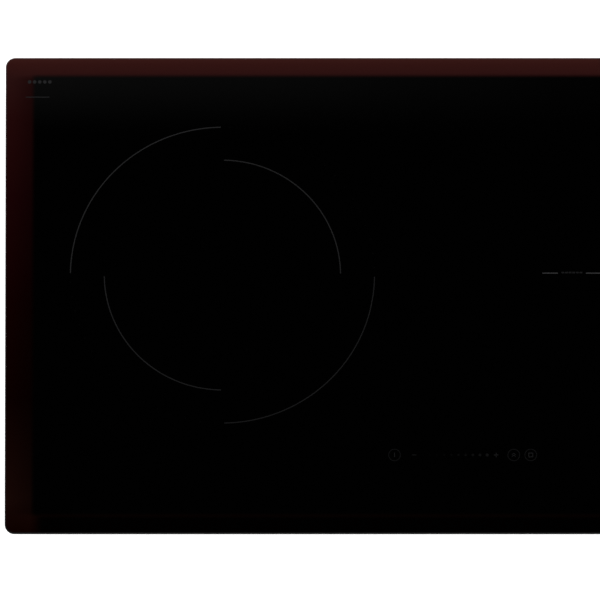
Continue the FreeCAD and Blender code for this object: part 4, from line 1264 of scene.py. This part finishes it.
@dataclass
class Components:
    """Moulded components that stand on a board in the place of their CAD blocks."""

    node: str
    slot: str
    package: Package
    finish: Moulding

    def build(self) -> None:
        """Make each component."""
        shape, legs = Shape(), Shape()
        for low, high in islands(self.node):
            size, centre = high - low, (low + high) / 2
            if self.node == "filter_parts" and size.x / size.y < 1.15:
                self._ring(shape, centre, size)
                continue
            self._case(shape, centre, size)
            self._legs(legs, low, high)
        install(shape.done(f"{self.node}_cases"), self.finish.build(), ROOT, [self.node])
        tin = Rolled(f"{self.node}_tin", (0.72, 0.72, 0.70)).build()
        install(legs.done(f"{self.node}_legs"), tin)

    def _ring(self, shape: Shape, centre: Vector, size: Vector) -> None:
        """Add a potted ring choke.

        Args:
            shape: the mesh that it joins.
            centre: its middle.
            size: its full size.
        """
        outer, hole, tall = size.x / 2, 0.008, size.z / 2
        profile = [(hole, -tall), (outer - 0.002, -tall), (outer, -tall + 0.002), (outer, tall - 0.002),
                   (outer - 0.002, tall), (hole + 0.0015, tall), (hole, tall - 0.0015)]
        shape.lathe(profile, tuple(centre), "Z", 40)

    def _case(self, shape: Shape, centre: Vector, size: Vector) -> None:
        """Add a case in the manner of its package.

        Args:
            shape: the mesh that it joins.
            centre: the middle of the component's place.
            size: the full size of that place.
        """
        lift = 0.0006 if self.package is Package.TRANSISTOR else 0.0008
        body = Vector((size.x, size.y, size.z - lift))
        place = centre + Vector((0, 0, lift / 2))
        shape.block(tuple(place), tuple(body), min(0.0009, body.z * 0.2))
        crown = place.z + body.z / 2 - 0.0002
        if self.package is Package.RELAY:
            shape.block((place.x, place.y, crown), (body.x * 0.3, body.y * 0.16, 0.0004), 0.0001)
        elif self.package is Package.FILM:
            for side in (-1, 1):
                band = (0.0012, body.y * 0.998, body.z * 0.9)
                shape.block((place.x + side * body.x * 0.42, place.y, place.z), band, 0.0003)
        elif self.package is Package.TRANSISTOR:
            shape.block((place.x, place.y + body.y * 0.3, crown), (0.005, 0.005, 0.0003), 0.0001)

    def _legs(self, legs: Shape, low: Vector, high: Vector) -> None:
        """Add the pins under a case.

        Args:
            legs: the mesh that they join.
            low: the lowest corner of the component's place.
            high: its highest corner.
        """
        count = 3 if self.package is Package.TRANSISTOR else 2
        for i in range(count):
            x = low.x + (high.x - low.x) * (i + 0.7) / (count + 0.4)
            y = low.y + (high.y - low.y) * (0.08 if self.package is Package.TRANSISTOR else 0.5)
            legs.block((x, y, low.z + 0.0006), (0.0011, 0.0011, 0.0012), 0.0002)


# ---------------------------------------------------------------- springs

@dataclass
class SensorSpring:
    """The wave spring round a sensor plunger, made at one fixed height."""

    zone: str
    thick: float = 0.0003
    turns: int = 3
    waves: float = 3.5
    steps: int = 84
    cap: float = 0.003
    travel: float = 0.0025

    def build(self, material: bpy.types.Material) -> None:
        """Make the wavy strip and fasten it to the hob.

        Args:
            material: the spring's finish.
        """
        node = f"{self.zone}_sensor_spring"
        inner, outer = ring_radii(node)
        centre = middle_of(node)
        foot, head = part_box(node)[0][2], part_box(f"{self.zone}_sensor")[1][2] - self.cap
        room = head - foot - self.thick
        swing = room / (2 * self.turns)
        rings = []
        count = self.turns * self.steps
        for i in range(count + 1):
            share = i / count
            a = 2 * math.pi * self.turns * share
            level = room * share + swing * math.cos(self.waves * a)
            z = foot + self.thick / 2 + min(max(level, 0.0), room)
            rings.append([(centre.x + r * math.cos(a), centre.y + r * math.sin(a), z + up * self.thick / 2)
                          for r, up in ((inner, -1), (outer, -1), (outer, 1), (inner, 1))])
        shape = Shape()
        shape.loft(rings)
        spring = install(shape.done(f"{node}_waves"), material, ROOT, [node])
        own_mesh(spring)


# ---------------------------------------------------------------- finishes of the CAD nodes

def slot_finishes() -> Dict[str, object]:
    """The finish of each of the record's material slots."""
    glass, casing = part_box("glass_top")[1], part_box("lower_casing")[1]
    nylon, black = (0.50, 0.50, 0.48), (0.022, 0.022, 0.024)
    return {
        "black_glass": BlackGlass("black_glass", (glass[0], glass[1]), (casing[0], casing[1]), glass[2]),
        "seal_foam": Foam("seal_foam", (0.24, 0.24, 0.24)),
        "silicone": Foam("silicone", (0.02, 0.02, 0.02), 4200.0),
        "frame_steel": PowderCoat("frame_coat", (0.018, 0.018, 0.019)),
        "casing_steel": Galvanised("galvanised"),
        "screw_steel": Rolled("zinc_plate", (0.58, 0.58, 0.54)),
        "deck_aluminium": Rolled("mill_aluminium", (0.72, 0.73, 0.74), 0.36, (10.0, 700.0, 700.0)),
        "post_aluminium": Rolled("turned_aluminium", (0.70, 0.71, 0.72), 0.3, (60.0, 60.0, 2600.0)),
        "carrier_plastic": Moulding("carrier_resin", (0.66, 0.62, 0.54), 0.6, Grain.SPARK),
        "ferrite": Pressed("sintered_ferrite", (0.020, 0.021, 0.023), (0.07, 0.07, 0.075), 900.0, 0.6),
        "mica": Pressed("mica_sheet", (0.40, 0.33, 0.25), (0.62, 0.56, 0.46)),
        "sensor_ceramic": Moulding("sensor_glaze", (0.74, 0.72, 0.66), 0.25, Grain.SATIN),
        "spring_steel": Rolled("spring_wire", (0.55, 0.55, 0.56), 0.25, (600.0, 600.0, 600.0)),
        "litz_copper": Litz("litz"),
        "circuit_board": Laminate("board_laminate"),
        "standoff_plastic": Moulding("natural_nylon", (0.66, 0.65, 0.60), 0.42, Grain.SATIN),
        "device_black": Moulding("epoxy", (0.018, 0.018, 0.019), 0.55, Grain.SATIN),
        "choke_copper": Litz("choke_copper", (0.0, 0.0), 60.0),
        "sink_aluminium": Rolled("extruded_aluminium", (0.68, 0.69, 0.70), 0.3, (900.0, 12.0, 400.0)),
        "capacitor_plastic": Moulding("capacitor_case", (0.36, 0.37, 0.40), 0.4),
        "fan_plastic": Moulding("fan_shell", black, 0.5, Grain.SPARK),
        "impeller_plastic": Moulding("fan_wheel", (0.03, 0.03, 0.034), 0.38, Grain.SATIN),
        "motor_steel": Rolled("motor_laminations", (0.36, 0.36, 0.37), 0.4, (40.0, 40.0, 3200.0)),
        "filter_plastic": Moulding("filter_case", (0.52, 0.40, 0.06), 0.35, Grain.SATIN),
        "relay_plastic": Moulding("relay_case", (0.02, 0.022, 0.03), 0.3, Grain.SATIN),
        "terminal_plastic": Moulding("terminal_nylon", nylon, 0.45),
        "block_plastic": Moulding("block_nylon", (0.62, 0.60, 0.55), 0.42, Grain.SATIN),
        "terminal_brass": Rolled("terminal_brass", (0.70, 0.52, 0.22), 0.28, (300.0, 300.0, 300.0)),
        "control_plastic": Moulding("control_tray", black, 0.55, Grain.SPARK),
        "contact_foam": Foam("contact_foam", (0.03, 0.03, 0.032), 1900.0),
        "display_plastic": Moulding("smoked_face", (0.010, 0.009, 0.010), 0.18, Grain.SATIN),
        "ribbon_plastic": Rolled("ribbon_cable", (0.34, 0.34, 0.36), 0.5, (780.0, 1.0, 1.0)),
        "lead_insulation": Foam("glass_sleeve", (0.55, 0.50, 0.40), 2600.0),
        "clip_steel": Rolled("spring_stainless", (0.58, 0.58, 0.57), 0.24, (500.0, 12.0, 900.0)),
    }


def dress_nodes(finishes: Dict[str, bpy.types.Material]) -> None:
    """Give every CAD node the finish of its slot.

    Args:
        finishes: the built material of each slot.
    """
    for part in FRAME["record"]["subparts"]:
        node = FRAME["nodes"][part["node"]]
        material = finishes[part["material_slot"]]
        if not node.material_slots:
            node.data.materials.append(material)
        for held in node.material_slots:
            held.material = material


# ---------------------------------------------------------------- studio

@dataclass
class Studio:
    """Camera, lamps, world and floor."""

    distance: float = 27.5
    view_width: float = 0.6135
    tilt: float = 13.4
    aim: Flat = (-0.0986, -0.0052)
    floor_half: float = 24.0
    lamps: Sequence[Tuple[float, float, float, float]] = (
        (-135.0, 42.0, 3.2, 38.0),
        (135.0, 42.0, 3.2, 38.0),
        (-40.0, 38.0, 3.2, 34.0),
        (40.0, 38.0, 3.2, 34.0),
    )

    def build(self) -> None:
        """Set the studio up."""
        self.camera()
        self.world()
        self.floor()
        for i, (azimuth, elevation, away, power) in enumerate(self.lamps):
            self.lamp(f"softbox_{i + 1}", azimuth, elevation, away, power)
        bpy.context.scene.view_settings.view_transform = "Standard"

    def camera(self) -> None:
        """A long lens that looks down on the glass from in front."""
        lens = bpy.data.cameras.new("long_lens")
        lens.sensor_width = 36.0
        lens.lens = lens.sensor_width * self.distance / self.view_width
        lens.clip_start, lens.clip_end = 1.0, 100.0
        camera = bpy.data.objects.new("camera", lens)
        bpy.context.scene.collection.objects.link(camera)
        tilt = math.radians(self.tilt)
        target = Vector((*self.aim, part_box("glass_top")[1][2]))
        back = Vector((0.0, -math.sin(tilt), math.cos(tilt)))
        camera.location = target + back * self.distance
        camera.rotation_mode = "QUATERNION"
        camera.rotation_quaternion = (-back).to_track_quat("-Z", "Y")
        bpy.context.scene.camera = camera

    def world(self) -> None:
        """White behind the object, pale all round and dark overhead, and darker in its mirror image."""
        g = Graph("studio", Owner.WORLD)
        lit = g.plain("ShaderNodeBackground", Color=g.step(g.z, 0.86, 0.55), Strength=0.9)
        mirrored = g.plain("ShaderNodeBackground", Color=g.step(g.z, 0.55, -0.05), Strength=0.32)
        seen = g.plain("ShaderNodeBackground", Color=(1.0, 1.0, 1.0), Strength=1.0)
        direct = g.math("MAXIMUM", g.ray("Camera"), g.ray("Transmission"))
        bpy.context.scene.world = g.finish(g.blend(direct, g.blend(g.ray("Glossy"), lit, mirrored), seen))

    def floor(self) -> None:
        """A white floor that keeps the object's shadow."""
        half = self.floor_half
        mesh = bpy.data.meshes.new("floor")
        corners = [(-half, -half), (half, -half), (half, half), (-half, half)]
        level = CAD_BOX[0].z - 0.0002
        mesh.from_pydata([(x, y, level) for x, y in corners], [], [(0, 1, 2, 3)])
        floor = bpy.data.objects.new("floor", mesh)
        bpy.context.scene.collection.objects.link(floor)
        g = Graph("white_floor")
        seen = g.math("MAXIMUM", g.ray("Camera"), g.ray("Transmission"))
        plain = g.plain("ShaderNodeBsdfDiffuse", Color=(0.8, 0.8, 0.8))
        soft = g.plain("ShaderNodeBsdfDiffuse", Color=(0.45, 0.45, 0.45))
        glow = g.plain("ShaderNodeEmission", Color=(1.0, 1.0, 1.0), Strength=0.82)
        bright = g.node("ShaderNodeAddShader", {}, {0: soft, 1: glow})
        mesh.materials.append(g.finish(g.blend(seen, plain, Sock(g, bright.outputs[0]))))

    def lamp(self, name: str, azimuth: float, elevation: float, away: float, power: float) -> None:
        """Add a soft square lamp that faces the object.

        Args:
            name: the lamp's name.
            azimuth: its bearing from the front, in degrees.
            elevation: its height above the horizon, in degrees.
            away: its distance.
            power: its power in watts.
        """
        light = bpy.data.lights.new(name, "AREA")
        light.shape = "SQUARE"
        light.size = 1.6
        light.energy = power
        holder = bpy.data.objects.new(name, light)
        holder.visible_glossy = False
        bpy.context.scene.collection.objects.link(holder)
        a, e = math.radians(azimuth), math.radians(elevation)
        back = Vector((math.sin(a) * math.cos(e), -math.cos(a) * math.cos(e), math.sin(e)))
        holder.location = back * away
        holder.rotation_mode = "QUATERNION"
        holder.rotation_quaternion = (-back).to_track_quat("-Z", "Y")


# ---------------------------------------------------------------- the whole cooktop

def main() -> None:
    """Build the looks in order."""
    logging.basicConfig(level=logging.INFO, format="%(name)s: %(message)s")
    Studio().build()
    finishes = slot_finishes()
    built = {slot: finish.build() for slot, finish in finishes.items()}
    dress_nodes(built)
    Marks(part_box("glass_top")[1][2]).build()
    CasingTrim().build()
    for side in ("left", "right"):
        for end in ("front", "rear"):
            SpringLeaf(f"{side}_{end}_clip", f"{side}_{end}_leaf").build(built["clip_steel"])
    for node in ("left_outer_winding", "left_inner_winding", "front_winding", "rear_winding"):
        FlatCoil(node).build()
    Chokes().build()
    for node in ("left_capacitors", "right_capacitors"):
        Components(node, "capacitor_plastic", Package.FILM, finishes["capacitor_plastic"]).build()
    Components("filter_parts", "filter_plastic", Package.FILM, finishes["filter_plastic"]).build()
    Components("mains_relays", "relay_plastic", Package.RELAY, finishes["relay_plastic"]).build()
    Components("power_devices", "device_black", Package.TRANSISTOR, finishes["device_black"]).build()
    Components("display_modules", "display_plastic", Package.DISPLAY, finishes["display_plastic"]).build()
    for zone in ("left", "front", "rear"):
        SensorSpring(zone).build(built["spring_steel"])


if __name__ == "__main__":
    main()
